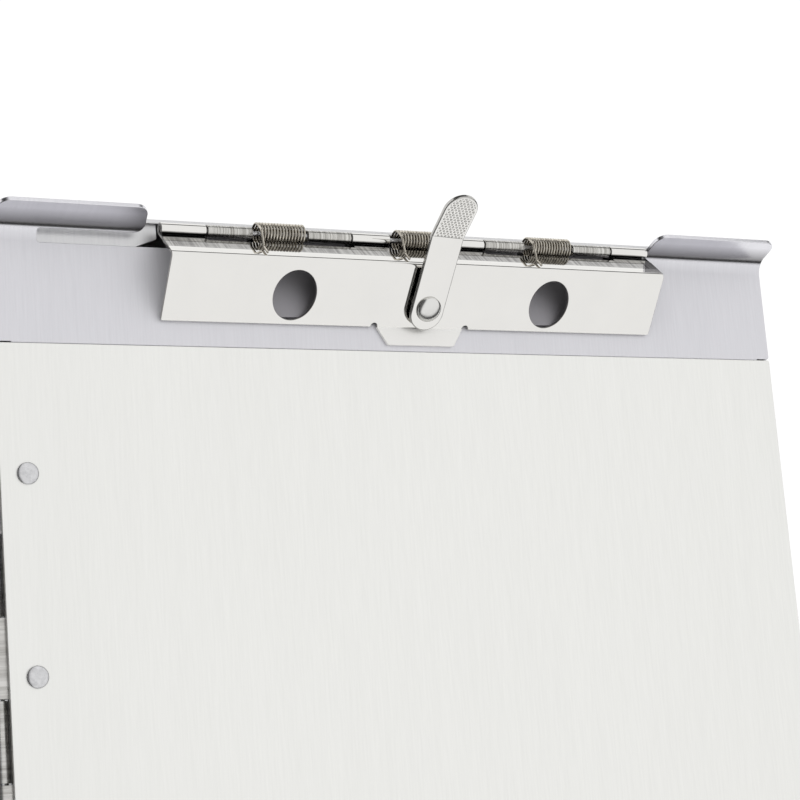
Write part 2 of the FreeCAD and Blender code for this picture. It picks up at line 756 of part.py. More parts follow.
def least_gap(path, clear_run, wire):
    """The least space between turns, on points that lie further apart along the wire."""
    count = int(path.Length / wire)
    points = path.discretize(Number=count)
    step = path.Length / (count - 1)
    skip = int(clear_run / step) + 1
    return min(
        points[one].distanceToPoint(points[other])
        for one in range(count) for other in range(one + skip, count)
    ) - 2 * wire


def wind_spring(name, middle, side_room):
    radius = SIZE["coil_radius"]
    wire = SIZE["wire_radius"]
    slope_angle = math.radians(SIZE["flange_angle"])
    up_flange = Vector(0, -math.cos(slope_angle), math.sin(slope_angle))
    off_flange = Vector(0, math.sin(slope_angle), math.cos(slope_angle))
    first_angle = math.atan2(off_flange.z, off_flange.y)
    last_angle = math.radians(SIZE["fixed_leg_angle"] - 90)
    sweep = first_angle - last_angle + 2 * math.pi * SIZE["coil_turns"]
    rise = (side_room - 2 * SIZE["coil_end_gap"] - 2 * wire) / sweep
    axis = Vector(middle - rise * sweep / 2, amount(hinge_y), amount(hinge_z))
    quarters = 4 * int(SIZE["coil_turns"]) + 2

    def place(turned):
        angle = first_angle - turned
        return axis + Vector(rise * turned, radius * math.cos(angle), radius * math.sin(angle))

    def heading(turned):
        angle = first_angle - turned
        return Vector(rise, radius * math.sin(angle), -radius * math.cos(angle)).normalize()

    seat = amount(bore_radius) - wire - SIZE["leg_clearance"]
    end_run = SIZE["flange_length"] - SIZE["leg_end_from_fold"]
    drop_start = SIZE["leg_run"]
    drop_end = drop_start + SIZE["leg_drop_run"]
    # The leg keeps the coil's small sideways lead, so that it meets the first turn tangent.
    lead = heading(0)
    start = place(0)

    def beside(along, height):
        sideways = -along * lead.x / math.hypot(lead.y, lead.z)
        return axis + up_flange * along + off_flange * height + Vector(sideways, 0, 0)

    leg = bent_run(
        [beside(end_run, -seat), beside(drop_end, -seat), beside(drop_start, radius), start],
        SIZE["leg_bend"])
    steps = [sweep * number / quarters for number in range(quarters + 1)]
    coil = []
    for before, after in zip(steps, steps[1:]):
        coil += biarc(place(before), heading(before), place(after), heading(after))
    finish = place(sweep)
    tail = Part.LineSegment(finish, finish + heading(sweep) * SIZE["fixed_leg_length"]).toShape()
    path = Part.Wire(leg + coil + [tail])
    first = path.Edges[0]
    away = first.tangentAt(first.FirstParameter)
    section = Part.Wire(Part.makeCircle(wire, first.valueAt(first.FirstParameter), away))
    pipe = Part.BRepOffsetAPI.MakePipeShell(path)
    pipe.add(section)
    pipe.build()
    pipe.makeSolid()
    spring = doc.addObject("Part::Feature", name)
    spring.Shape = pipe.shape()
    volume = math.pi * wire * wire * path.Length
    print("%s: wire %.1f mm, least gap %.3f mm, volume %.4f of the wire's" % (
        name, path.Length, least_gap(path, 3 * radius, wire), spring.Shape.Volume / volume))
    return spring


spring_room = amount("clip_width / 2 * side_spring_share")
side_middle = amount(step_edge(3)) + spring_room / 2
springs = [
    wind_spring("clip_spring_" + side, middle, spring_room)
    for side, middle in (("left", -side_middle), ("centre", 0.0), ("right", side_middle))
]

# Lid hinge: a long rolled hinge outside the left wall. One leaf lies under the lid, on the lowered
# rim, and the other on the wall's outer face.
leaf_axis_x = "( - %s - leaf_barrel_radius )" % half_width
leaf_axis_z = "( %s - leaf_barrel_radius )" % rim
knuckle_pitch = "( %s / leaf_knuckles )" % leaf_length
leaf_bore = rod(
    "leaf_pin_bore", "leaf_pin_radius + pin_clearance",
    (leaf_axis_x, "%s - leaf_end_margin" % leaf_start, leaf_axis_z),
    "%s + 2 * leaf_end_margin" % leaf_length, "y")
tray_leaf_pieces = [
    box("tray_leaf_flat",
        ("- %s - leaf_sheet" % half_width, leaf_start, "%s - leaf_width" % leaf_axis_z),
        ("leaf_sheet", leaf_length, "leaf_width - leaf_barrel_radius")),
]
lid_leaf_pieces = [
    box("lid_leaf_flat",
        ("%s + leaf_barrel_radius" % leaf_axis_x, leaf_start, "%s - leaf_sheet" % rim),
        ("leaf_width - leaf_barrel_radius", leaf_length, "leaf_sheet")),
]
for number in range(int(SIZE["leaf_knuckles"])):
    first = "( %s + %d * %s + knuckle_gap / 2 )" % (leaf_start, number, knuckle_pitch)
    length = "( %s - knuckle_gap )" % knuckle_pitch
    knuckle = rod("leaf_knuckle_%d" % number, "leaf_barrel_radius",
                  (leaf_axis_x, first, leaf_axis_z), length, "y")
    if number % 2 == 0:
        web = box("tray_leaf_web_%d" % number,
                  ("- %s - leaf_sheet" % half_width, first, "%s - 2 * leaf_barrel_radius" % leaf_axis_z),
                  ("leaf_sheet", length, "2 * leaf_barrel_radius"))
        tray_leaf_pieces += [knuckle, web]
    else:
        web = box("lid_leaf_web_%d" % number,
                  (leaf_axis_x, first, "%s - leaf_sheet" % rim),
                  ("2 * leaf_barrel_radius", length, "leaf_sheet"))
        lid_leaf_pieces += [knuckle, web]


def along_leaf(number):
    share = (number + 0.5) / SIZE["leaf_rivets"]
    return "( %s + %r * %s )" % (leaf_start, share, leaf_length)


leaf_rivet_numbers = range(int(SIZE["leaf_rivets"]))
tray_leaf_rivets, tray_leaf_holes = rivet_row(
    "tray_leaf_rivets",
    [("- %s + tray_sheet / 2 - leaf_sheet / 2" % half_width, along_leaf(number),
      "%s - leaf_rivet_setback" % leaf_axis_z) for number in leaf_rivet_numbers],
    "( tray_sheet + leaf_sheet )", "x")
lid_leaf_rivets, lid_leaf_holes = rivet_row(
    "lid_leaf_rivets",
    [("%s + leaf_barrel_radius + leaf_rivet_setback" % leaf_axis_x, along_leaf(number),
      "%s + cover_sheet / 2 - leaf_sheet / 2" % rim) for number in leaf_rivet_numbers],
    "( cover_sheet + leaf_sheet )", "z")
lid_hinge_tray_leaf = cut(
    "lid_hinge_tray_leaf", fuse("tray_leaf_blank", tray_leaf_pieces), [leaf_bore] + tray_leaf_holes)
lid_hinge_lid_leaf = cut(
    "lid_hinge_lid_leaf", fuse("lid_leaf_blank", lid_leaf_pieces), [leaf_bore] + lid_leaf_holes)
lid_hinge_pin = fuse("lid_hinge_pin", [
    rod("lid_pin_shank", "leaf_pin_radius",
        (leaf_axis_x, "%s - pin_overhang" % leaf_start, leaf_axis_z),
        "%s + 2 * pin_overhang" % leaf_length, "y"),
    rod("lid_pin_head_front", "pin_head_radius",
        (leaf_axis_x, "%s - pin_overhang - pin_head_height" % leaf_start, leaf_axis_z),
        "pin_head_height", "y"),
    rod("lid_pin_head_rear", "pin_head_radius",
        (leaf_axis_x, "%s + %s + pin_overhang" % (leaf_start, leaf_length), leaf_axis_z),
        "pin_head_height", "y"),
])

# Snap catch in the middle of the lid's right side: a bumped spring on the wall, and a tongue
# under the lid that passes it.
catch_face = "( %s - catch_sheet )" % wall_inner
bump_tip = "( %s - catch_bump_radius )" % catch_face
tongue_face = "( %s - catch_gap )" % bump_tip
catch_top = "( %s - catch_sheet )" % rim
catch_row = ["- catch_rivet_spacing / 2", "catch_rivet_spacing / 2"]
catch_spring_rivets, catch_spring_holes = rivet_row(
    "catch_spring_rivets",
    [("%s + tray_sheet / 2 - catch_sheet / 2" % wall_inner, place,
      "%s - catch_height + rivet_head" % catch_top) for place in catch_row],
    "( tray_sheet + catch_sheet )", "x")
bump = rod("catch_bump", "catch_bump_radius",
           (catch_face, "- catch_length / 2", "%s - 2 * catch_bump_radius" % catch_top),
           "catch_length", "y")
bump_trim = box("catch_bump_trim",
                (catch_face, "- catch_length", "%s - catch_height" % catch_top),
                ("catch_bump_radius + catch_sheet", "2 * catch_length", "catch_height + catch_sheet"))
catch_plate = box("catch_plate", (catch_face, "- catch_length / 2", "%s - catch_height" % catch_top),
                  ("catch_sheet", "catch_length", "catch_height"))
catch_spring = cut(
    "catch_spring",
    fuse("catch_blank", [catch_plate, cut("catch_bump_half", bump, [bump_trim])]),
    catch_spring_holes)
catch_tongue_rivets, catch_tongue_holes = rivet_row(
    "catch_tongue_rivets",
    [("%s - tongue_foot / 2 - tongue_sheet / 2" % tongue_face, place,
      "%s + cover_sheet / 2 - tongue_sheet / 2" % rim) for place in
     ("- tongue_length / 2 + 2 * rivet_head", "tongue_length / 2 - 2 * rivet_head")],
    "( cover_sheet + tongue_sheet )", "z")
catch_tongue = cut(
    "catch_tongue",
    fuse("tongue_blank", [
        box("tongue_foot_plate",
            ("%s - tongue_foot" % tongue_face, "- tongue_length / 2", "%s - tongue_sheet" % rim),
            ("tongue_foot", "tongue_length", "tongue_sheet")),
        box("tongue_blade",
            ("%s - tongue_sheet" % tongue_face, "- tongue_length / 2", "%s - tongue_drop" % rim),
            ("tongue_sheet", "tongue_length", "tongue_drop")),
    ]),
    catch_tongue_holes)

# Lid: the flat writing plate, from the tray's front edge to just below the clip's press tab.
lid_body = doc.addObject("PartDesign::Body", "lid_body")
lid_sketch = outline(lid_body, "lid_outline", "XY_Plane", (
    ("- " + half_width, lid_front),
    (half_width, lid_front),
    (half_width, lid_rear),
    ("- " + half_width, lid_rear),
))
bind(lid_sketch, "AttachmentOffset.Base.z", rim)
lid_pad = pad(lid_body, lid_sketch, "cover_sheet", symmetric=False)
round_edges(lid_body, lid_pad, "lid_corners", "lid_corner",
            lambda middle, run: abs(run.z) > 0.99 and middle.y < 0)
lid_plate = cut("lid_plate", lid_body, lid_leaf_holes + catch_tongue_holes)

tray_shell = cut("tray_shell", tray_outside, [tray_inside])
tray_blank = fuse("tray_blank", [tray_shell, rear_rise] + rear_shelves)
tray_pan = cut(
    "tray_pan", tray_blank,
    [hinge_step, thumb_notch] + deck_rivet_holes + tray_leaf_holes + catch_spring_holes)

NODES = [
    tray_pan, clip_deck, deck_rivets, clip_base_plate, base_rivets, clip_hinge_pin,
    lid_hinge_tray_leaf, lid_hinge_pin, tray_leaf_rivets, catch_spring, catch_spring_rivets,
    lid_plate, lid_hinge_lid_leaf, lid_leaf_rivets, catch_tongue, catch_tongue_rivets,
    clip_blade, lever_rivet, lever_washer, thumb_lever,
] + springs

doc.recompute()
for thing in doc.Objects:
    if "Invalid" in thing.State or "Error" in thing.State:
        raise RuntimeError("%s failed to build" % thing.Label)
for node in NODES:
    if node.Shape.isNull() or not node.Shape.isValid() or not node.Shape.Solids:
        raise RuntimeError("%s has no valid shape" % node.Label)
os.makedirs("parts", exist_ok=True)
for node in NODES:
    node.Shape.exportStep("parts/%s.step" % node.Label)
    extent = node.Shape.BoundBox
    print("%-22s %3d solids  %10.1f mm3  %s" % (
        node.Label, len(node.Shape.Solids), node.Shape.Volume,
        " ".join("%.2f" % number for number in (
            extent.XMin, extent.XMax, extent.YMin, extent.YMax, extent.ZMin, extent.ZMax))))
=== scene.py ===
import math
import bpy
import numpy as np
from mathutils import Matrix, Vector
from mathutils.geometry import delaunay_2d_cdt


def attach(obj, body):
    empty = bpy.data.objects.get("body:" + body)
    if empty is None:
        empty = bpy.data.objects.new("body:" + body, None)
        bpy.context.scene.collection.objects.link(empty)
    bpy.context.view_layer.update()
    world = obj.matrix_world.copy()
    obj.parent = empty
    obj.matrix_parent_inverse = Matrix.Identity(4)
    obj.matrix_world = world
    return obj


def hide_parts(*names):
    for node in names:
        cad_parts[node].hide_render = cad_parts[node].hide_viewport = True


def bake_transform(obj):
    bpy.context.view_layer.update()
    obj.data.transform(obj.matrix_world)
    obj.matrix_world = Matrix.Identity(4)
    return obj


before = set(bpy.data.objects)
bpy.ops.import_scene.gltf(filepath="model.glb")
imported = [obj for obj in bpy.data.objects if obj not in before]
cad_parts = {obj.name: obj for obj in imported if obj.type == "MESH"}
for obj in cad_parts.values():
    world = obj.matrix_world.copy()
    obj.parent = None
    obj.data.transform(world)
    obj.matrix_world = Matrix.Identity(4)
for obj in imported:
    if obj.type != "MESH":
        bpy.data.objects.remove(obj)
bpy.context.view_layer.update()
mm = 0.001
print("frame loaded:", len(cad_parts), "nodes")


# sheet metal: a flat blank (x, s) whose s runs along a bent section, h is the height on its face
def sectionLine(start, heading, runs, s0=0.0):
    # runs are (length, 0) straight, or (radius, turn in degrees) with left turns positive
    rows = []
    point, angle, s = np.array(start, float), math.radians(heading), s0
    for size, turn in runs:
        bend = math.radians(turn)
        length = size * abs(bend) if turn else size
        curve = bend / length if turn else 0.0
        rows.append((s, point[0], point[1], angle, curve, length))
        if turn:
            point = point + np.array([math.sin(angle + bend) - math.sin(angle),
                                      math.cos(angle) - math.cos(angle + bend)]) / curve
        else:
            point = point + length * np.array([math.cos(angle), math.sin(angle)])
        angle += bend
        s += length
    return np.array(rows)


def onLine(line, s):
    # point, and heading angle, at each s: p0 + (sin a - sin a0, cos a0 - cos a) / curve on arcs
    k = np.clip(np.searchsorted(line[:, 0], s, side="right") - 1, 0, len(line) - 1)
    along = s - line[k, 0]
    a0, curve = line[k, 3], line[k, 4]
    angle = a0 + curve * along
    safe = np.where(curve == 0, 1.0, curve)
    across = np.where(curve == 0, along * np.cos(a0), (np.sin(angle) - np.sin(a0)) / safe)
    up = np.where(curve == 0, along * np.sin(a0), (np.cos(a0) - np.cos(angle)) / safe)
    return line[k, 1] + across, line[k, 2] + up, angle


def lineEnd(line):
    return line[-1, 0] + line[-1, 5]


def bendRows(line, step=7.0):
    # s values that cut every arc of the section into short chords
    parts = []
    for s, _, _, _, curve, length in line:
        if curve:
            count = max(2, int(math.ceil(math.degrees(abs(curve) * length) / step)))
            parts.append(s + length * np.linspace(0, 1, count + 1))
    return np.concatenate(parts) if parts else np.zeros(0)


def arcPoints(centre, radius, first, last, count):
    turn = np.radians(np.linspace(first, last, count))
    return np.column_stack([centre[0] + radius * np.cos(turn), centre[1] + radius * np.sin(turn)])


def roundCorners(points, radii, count=9):
    # each corner becomes an arc of its own radius, tangent to both sides
    points = np.asarray(points, float)
    runs = []
    for k, radius in enumerate(radii):
        here = points[k]
        if radius <= 0:
            runs.append(here[None])
            continue
        back = points[k - 1] - here
        ahead = points[(k + 1) % len(points)] - here
        back, ahead = back / np.hypot(*back), ahead / np.hypot(*ahead)
        half = math.acos(np.clip(back @ ahead, -1, 1)) / 2
        middle = back + ahead
        centre = here + middle / np.hypot(*middle) * radius / math.sin(half)
        begin = here + back * radius / math.tan(half) - centre
        end = here + ahead * radius / math.tan(half) - centre
        a0 = math.atan2(begin[1], begin[0])
        sweep = (math.atan2(end[1], end[0]) - a0 + math.pi) % (2 * math.pi) - math.pi
        runs.append(arcPoints(centre, radius, math.degrees(a0), math.degrees(a0 + sweep), count))
    return np.concatenate(runs)


def plateLoop(half, length, radii):
    # a rectangle that starts at s = 0, with its four corners rounded
    return roundCorners([(-half, 0), (half, 0), (half, length), (-half, length)], radii)


def withRows(loop, rows):
    # puts a point on the loop wherever it crosses a row
    following = np.roll(loop, -1, axis=0)
    out, marks = [], []
    for a, b in zip(loop, following):
        out.append(a[None])
        marks.append(np.array([-1]))
        low, high = min(a[1], b[1]), max(a[1], b[1])
        hit = np.where((rows > low + 1e-6) & (rows < high - 1e-6))[0]
        if len(hit):
            hit = hit if b[1] > a[1] else hit[::-1]
            share = (rows[hit] - a[1]) / (b[1] - a[1])
            out.append(np.column_stack([a[0] + share * (b[0] - a[0]), rows[hit]]))
            marks.append(hit)
    return np.concatenate(out), np.concatenate(marks)


def outward(loop):
    # mitred direction away from the material, for loops that keep it on their left
    edge = np.roll(loop, -1, axis=0) - loop
    side = np.column_stack([edge[:, 1], -edge[:, 0]])
    side /= np.maximum(np.hypot(side[:, 0], side[:, 1]), 1e-12)[:, None]
    before = np.roll(side, 1, axis=0)
    return (side + before) / np.maximum(1 + (side * before).sum(1), 0.35)[:, None]


def insideLoops(points, loops):
    # even-odd rule, all points against all edges at once
    crossed = np.zeros(len(points), int)
    for loop in loops:
        a, b = loop, np.roll(loop, -1, axis=0)
        py, px = points[:, 1][:, None], points[:, 0][:, None]
        spans = (a[:, 1] > py) != (b[:, 1] > py)
        rise = np.where(b[:, 1] == a[:, 1], 1.0, b[:, 1] - a[:, 1])
        where = a[:, 0] + (py - a[:, 1]) / rise * (b[:, 0] - a[:, 0])
        crossed += (spans & (px < where)).sum(1)
    return crossed % 2 == 1


def sheetArrays(loops, bend, rows, thick, edge=0.2, relief=None, grid=None, arcRows=4):
    # the blank's two faces share one triangulation; a rounded rim joins them along every loop.
    # bend(x, s, h) gives places and the directions along s and square to the face
    loops = [np.asarray(loop, float) for loop in loops]
    ahead = [np.roll(l, -1, axis=0) for l in loops]
    areas = [np.sum(l[:, 0] * n[:, 1] - l[:, 1] * n[:, 0]) / 2 for l, n in zip(loops, ahead)]
    loops = [l if (area > 0) == (k == 0) else l[::-1] for k, (l, area) in enumerate(zip(loops, areas))]
    corners = np.concatenate([l[:, 1] for l in loops])
    rows = np.unique(np.round(rows, 5))
    if len(rows):
        near = np.abs(rows[:, None] - corners[None]).min(1) < 2e-3
        rows = np.unique(rows + np.where(near, 4.1e-3, 0))
    cut = [withRows(l, rows) for l in loops]
    rim = [c[0] for c in cut]
    away = [outward(l) for l in rim]
    inset = [l - edge * o for l, o in zip(rim, away)]
    flat = np.concatenate(inset)
    marks = np.concatenate([c[1] for c in cut])
    starts = np.cumsum([0] + [len(l) for l in inset])
    runs = [np.arange(a, b) for a, b in zip(starts, starts[1:])]
    links = [np.column_stack([run, np.roll(run, -1)]) for run in runs]
    for k in range(len(rows)):
        hit = np.where(marks == k)[0]
        hit = hit[np.argsort(flat[hit, 0])]
        links.append(hit[: len(hit) // 2 * 2].reshape(-1, 2))
    links = np.concatenate(links)
    if grid is not None:
        grid = grid[insideLoops(grid, [l - 1.3 * edge * o for l, o in zip(rim, away)])]
        flat = np.concatenate([flat, grid])
    verts, _, tris, origin, _, _ = delaunay_2d_cdt(
        [Vector(p) for p in flat.tolist()], links.tolist(), [], 0, 1e-7, True)
    verts = np.array([(v.x, v.y) for v in verts])
    tris = np.array(tris)
    kept = np.zeros(len(flat), int)
    for k, names in enumerate(origin):
        kept[names] = k
    tris = tris[insideLoops(verts[tris].mean(1), inset)]
    a, b, c = verts[tris[:, 0]], verts[tris[:, 1]], verts[tris[:, 2]]
    turned = (b - a)[:, 0] * (c - a)[:, 1] - (b - a)[:, 1] * (c - a)[:, 0] < 0
    tris[turned] = tris[turned][:, ::-1]
    x, s = verts[:, 0], verts[:, 1]
    if relief is None:
        height, slopeX, slopeS = np.zeros(len(x)), np.zeros(len(x)), np.zeros(len(x))
    else:
        height, slopeX, slopeS = relief(x, s)
    top, along, face, sideways = bend(x, s, height)
    low = bend(x, s, np.full(len(x), -thick))[0]
    topNormal = face - slopeX[:, None] * sideways - slopeS[:, None] * along
    topNormal /= np.linalg.norm(topNormal, axis=1)[:, None]
    count = len(x)
    places, wear = [top, low], [np.zeros(2 * count)]
    faces = [tris, tris[:, ::-1] + count]
    normals = [topNormal[tris].reshape(-1, 3), -face[tris[:, ::-1]].reshape(-1, 3)]
    quads, quadNormals = [], []
    total = 2 * count
    phis = np.radians(np.concatenate([np.linspace(90, 0, arcRows), np.linspace(0, -90, arcRows)]))
    upper = np.arange(2 * arcRows) < arcRows
    back = edge * (1 - np.cos(phis))
    depth = np.where(upper, -edge * (1 - np.sin(phis)), -(thick - edge) + edge * np.sin(phis))
    for loop, out, a in zip(rim, away, starts):
        n = len(loop)
        spot = loop[None] - back[:, None, None] * out[None]
        h = np.broadcast_to(depth[:, None], spot.shape[:2])
        where, along, face, sideways = bend(spot[..., 0].ravel(), spot[..., 1].ravel(), h.ravel())
        unit = out / np.maximum(np.hypot(out[:, 0], out[:, 1]), 1e-9)[:, None]
        flatOut = np.tile(unit, (2 * arcRows, 1))
        lift = np.repeat(np.sin(phis), n)[:, None]
        norm = np.sqrt(1 - lift ** 2) * (flatOut[:, :1] * sideways + flatOut[:, 1:] * along) + lift * face
        index = np.arange(total, total + (2 * arcRows - 2) * n).reshape(-1, n)
        places.append(where.reshape(2 * arcRows, n, 3)[1:-1].reshape(-1, 3))
        wear.append(np.ones((2 * arcRows - 2) * n))
        total += index.size
        ring = np.vstack([kept[a:a + n][None], index, (kept[a:a + n] + count)[None]])
        ahead = np.roll(ring, -1, axis=1)
        quad = np.stack([ring[:-1], ring[1:], ahead[1:], ahead[:-1]], -1).reshape(-1, 4)
        grid3 = norm.reshape(2 * arcRows, n, 3)
        next3 = np.roll(grid3, -1, axis=1)
        quads.append(quad)
        quadNormals.append(np.stack([grid3[:-1], grid3[1:], next3[1:], next3[:-1]], 2).reshape(-1, 3))
    return np.concatenate(places), faces + quads, np.concatenate(normals + quadNormals), np.concatenate(wear)


def extruded(line, sideways=(1, 0, 0), across=(0, 1, 0), up=(0, 0, 1), origin=(0, 0, 0)):
    # bend for a section that is the same all along: x runs sideways, the section lies in across and up
    sideways, across, up, origin = (np.array(v, float) for v in (sideways, across, up, origin))

    def bend(x, s, h):
        y, z, angle = onLine(line, s)
        cosine, sine = np.cos(angle)[:, None], np.sin(angle)[:, None]
        along, face = cosine * across + sine * up, cosine * up - sine * across
        place = origin + x[:, None] * sideways + y[:, None] * across + z[:, None] * up + h[:, None] * face
        return place, along, face, np.broadcast_to(sideways, place.shape)

    return bend


def joined(*parts):
    # several arrays of places, faces, corner normals and wear as one
    places, faces, normals, wear, total = [], [], [], [], 0
    for place, face, normal, worn in parts:
        places.append(place)
        faces += [f + total for f in face]
        normals.append(normal)
        wear.append(worn)
        total += len(place)
    return np.concatenate(places), faces, np.concatenate(normals), np.concatenate(wear)


def addPiece(name, parts, material, body, nodes):
    # millimetre arrays become one mesh in the frame's metres; with no normals, edges over 32 degrees are sharp
    places, faces, normals, wear = parts
    rows = [row for face in faces for row in face.tolist()]
    mesh = bpy.data.meshes.new(name)
    mesh.from_pydata((places * mm).tolist(), [], rows, shade_flat=False)
    if normals is None:
        mesh.set_sharp_from_angle(angle=math.radians(32))
    else:
        mesh.normals_split_custom_set(normals.tolist())
    worn = mesh.attributes.new("rimWear", "FLOAT", "POINT")
    worn.data.foreach_set("value", wear.astype(np.float32))
    piece = bpy.data.objects.new(name, mesh)
    bpy.context.scene.collection.objects.link(piece)
    mesh.materials.append(material)
    if isinstance(body, str):
        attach(piece, body)
    else:
        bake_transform(piece)
    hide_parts(*nodes)
    print("piece", name, len(rows), "faces")


def closedRings(spots, corners):
    # quads between neighbouring rings, with a normal at each corner: an end ring of no size becomes one point,
    # and a last ring that lies on the first one is joined to it
    count = spots.shape[1]
    ring = np.arange(spots.shape[0] * count).reshape(-1, count)
    ahead = np.roll(ring, -1, axis=1)
    quads = np.stack([ring[:-1], ahead[:-1], ahead[1:], ring[1:]], -1)
    keep = ring.ravel().copy()
    first, last = np.ptp(spots[[0, -1]], axis=1).max(1) < 1e-6
    parts = [(slice(int(first), len(quads) - int(last)), [0, 1, 2, 3])]
    if first:
        parts.insert(0, (slice(0, 1), [0, 2, 3]))
        keep[:count] = 0
    if last:
        parts.append((slice(-1, None), [0, 1, 2]))
        keep[-count:] = keep[-count]
    elif np.allclose(spots[0], spots[-1]):
        keep[-count:] = keep[:count]
    used, back = np.unique(keep, return_inverse=True)
    faces = [back[quads[rows][..., picks].reshape(-1, len(picks))] for rows, picks in parts]
    normals = np.concatenate([corners[rows][:, :, picks].reshape(-1, 3) for rows, picks in parts])
    return spots.reshape(-1, 3)[used], faces, normals, np.zeros(len(used))


def spun(profile, place, axis, count=48):
    # a profile of (radius, height) rows turned round an axis; rows that meet at under 37 degrees are smooth
    profile = np.asarray(profile, float)
    axis = np.array(axis, float) / np.linalg.norm(axis)
    u = np.cross(axis, [1.0, 0, 0] if abs(axis[0]) < 0.9 else [0, 1.0, 0])
    u /= np.linalg.norm(u)
    turn = np.linspace(0, 2 * np.pi, count, endpoint=False)
    ray = np.cos(turn)[:, None] * u + np.sin(turn)[:, None] * np.cross(axis, u)
    spots = np.array(place, float) + profile[:, :1, None] * ray[None] + profile[:, 1:, None] * axis
    step = np.diff(profile, axis=0)
    side = np.column_stack([step[:, 1], -step[:, 0]])
    side /= np.maximum(np.hypot(side[:, 0], side[:, 1]), 1e-12)[:, None]
    smooth = ((side[1:] * side[:-1]).sum(1) > 0.8)[:, None]
    mean = side[1:] + side[:-1]
    mean /= np.maximum(np.hypot(mean[:, 0], mean[:, 1]), 1e-12)[:, None]
    lower, upper = side.copy(), side.copy()
    lower[1:], upper[:-1] = np.where(smooth, mean, side[1:]), np.where(smooth, mean, side[:-1])

    def lean(way, rays):
        return way[:, :1, None] * rays[None] + way[:, 1:, None] * axis

    following = np.roll(ray, -1, axis=0)
    return closedRings(spots, np.stack([lean(lower, ray), lean(lower, following), lean(upper, following),
                                        lean(upper, ray)], 2))


def wireTube(path, radius, sides=12):
    # a circle carried along a path, its start direction carried on from ring to ring, with rounded ends
    step = np.gradient(path, axis=0)
    heading = step / np.linalg.norm(step, axis=1)[:, None]
    side = np.zeros_like(path)
    seed = np.cross(heading[0], [0.3, 0.5, 0.8])
    side[0] = seed / np.linalg.norm(seed)
    for k in range(1, len(path)):
        bare = side[k - 1] - (side[k - 1] @ heading[k]) * heading[k]
        side[k] = bare / np.linalg.norm(bare)
    other = np.cross(heading, side)
    turn = np.linspace(0, 2 * np.pi, sides, endpoint=False)
    ray = np.cos(turn)[None, :, None] * side[:, None] + np.sin(turn)[None, :, None] * other[:, None]

    def capped(rows):
        return np.concatenate([np.repeat(rows[:1], 3, 0), rows, np.repeat(rows[-1:], 3, 0)])

    whole = np.ones(len(path))
    shrink, lead, tilt = np.array([0.0, 0.7, 0.96]), np.array([-0.42, -0.3, -0.1]), np.array([-1.0, -0.75, -0.4])
    size = radius * np.concatenate([shrink, whole, shrink[::-1]])
    past = radius * np.concatenate([lead, whole * 0, -lead[::-1]])
    tip = np.concatenate([tilt, whole * 0, -tilt[::-1]])[:, None, None]
    rays, ways = capped(ray), capped(heading)
    spots = (capped(path) + past[:, None] * ways)[:, None] + size[:, None, None] * rays
    norm = np.sqrt(1 - tip ** 2) * rays + tip * ways[:, None]
    following = np.roll(norm, -1, axis=1)
    return closedRings(spots, np.stack([norm[:-1], following[:-1], following[1:], norm[1:]], 2))


def softPath(points, radius, step=0.12):
    # straight runs with an arc of one radius at each inner corner, sampled evenly
    points = np.asarray(points, float)
    runs, last = [], points[0]
    for before, corner, after in zip(points, points[1:], points[2:]):
        arriving = (corner - before) / np.linalg.norm(corner - before)
        leaving = (after - corner) / np.linalg.norm(after - corner)
        turn = math.acos(np.clip(arriving @ leaving, -1, 1))
        reach = radius * math.tan(turn / 2)
        inward = leaving - arriving
        inward /= np.linalg.norm(inward)
        centre = corner + inward * math.hypot(radius, reach)
        touch = corner - arriving * reach
        count = max(2, int(np.linalg.norm(touch - last) / step))
        runs.append(last + np.linspace(0, 1, count, endpoint=False)[:, None] * (touch - last))
        angle = np.linspace(0, turn, max(4, int(radius * turn / step)), endpoint=False)
        spoke = touch - centre
        runs.append(centre + np.cos(angle)[:, None] * spoke + np.sin(angle)[:, None] * arriving * radius)
        last = corner + leaving * reach
    count = max(2, int(np.linalg.norm(points[-1] - last) / step))
    runs.append(last + np.linspace(0, 1, count)[:, None] * (points[-1] - last))
    return np.concatenate(runs)


# materials
def addNode(tree, kind, values=None, **settings):
    # one node: an input that is given a socket is linked, and any other is set
    node = tree.nodes.new("ShaderNode" + kind)
    for key, value in settings.items():
        setattr(node, key, value)
    for key, value in (values or {}).items():
        if isinstance(value, bpy.types.NodeSocket):
            tree.links.new(value, node.inputs[key])
        else:
            node.inputs[key].default_value = value
    return node


def freshMaterial(name, colour, roughness, metallic=1.0):
    material = bpy.data.materials.new(name)
    material.use_nodes = True
    material.diffuse_color = (*colour, 1)
    shader = material.node_tree.nodes["Principled BSDF"]
    shader.inputs["Base Color"].default_value = (*colour, 1)
    shader.inputs["Roughness"].default_value = roughness
    shader.inputs["Metallic"].default_value = metallic
    return material, material.node_tree, shader


def feed(tree, node, values):
    for key, value in values.items():
        tree.links.new(value, node.inputs[key])


def objectSpot(tree):
    return addNode(tree, "TexCoord").outputs["Object"]


def noiseField(tree, scale, stretch, detail=4.0, rough=0.55):
    # noise on Object coordinates, drawn out along the axes with small factors
    where = addNode(tree, "Mapping", {"Vector": objectSpot(tree), "Scale": stretch}).outputs["Vector"]
    values = {"Vector": where, "Scale": scale, "Detail": detail, "Roughness": rough}
    return addNode(tree, "TexNoise", values).outputs["Fac"]


def spread(tree, value, low, high, fromLow=0.3, fromHigh=0.7):
    # one range carried over to another, and held at its ends
    values = {"Value": value, "From Min": fromLow, "From Max": fromHigh, "To Min": low, "To Max": high}
    return addNode(tree, "MapRange", values).outputs["Result"]


def maths(tree, operation, *values):
    return addNode(tree, "Math", dict(enumerate(values)), operation=operation).outputs["Value"]


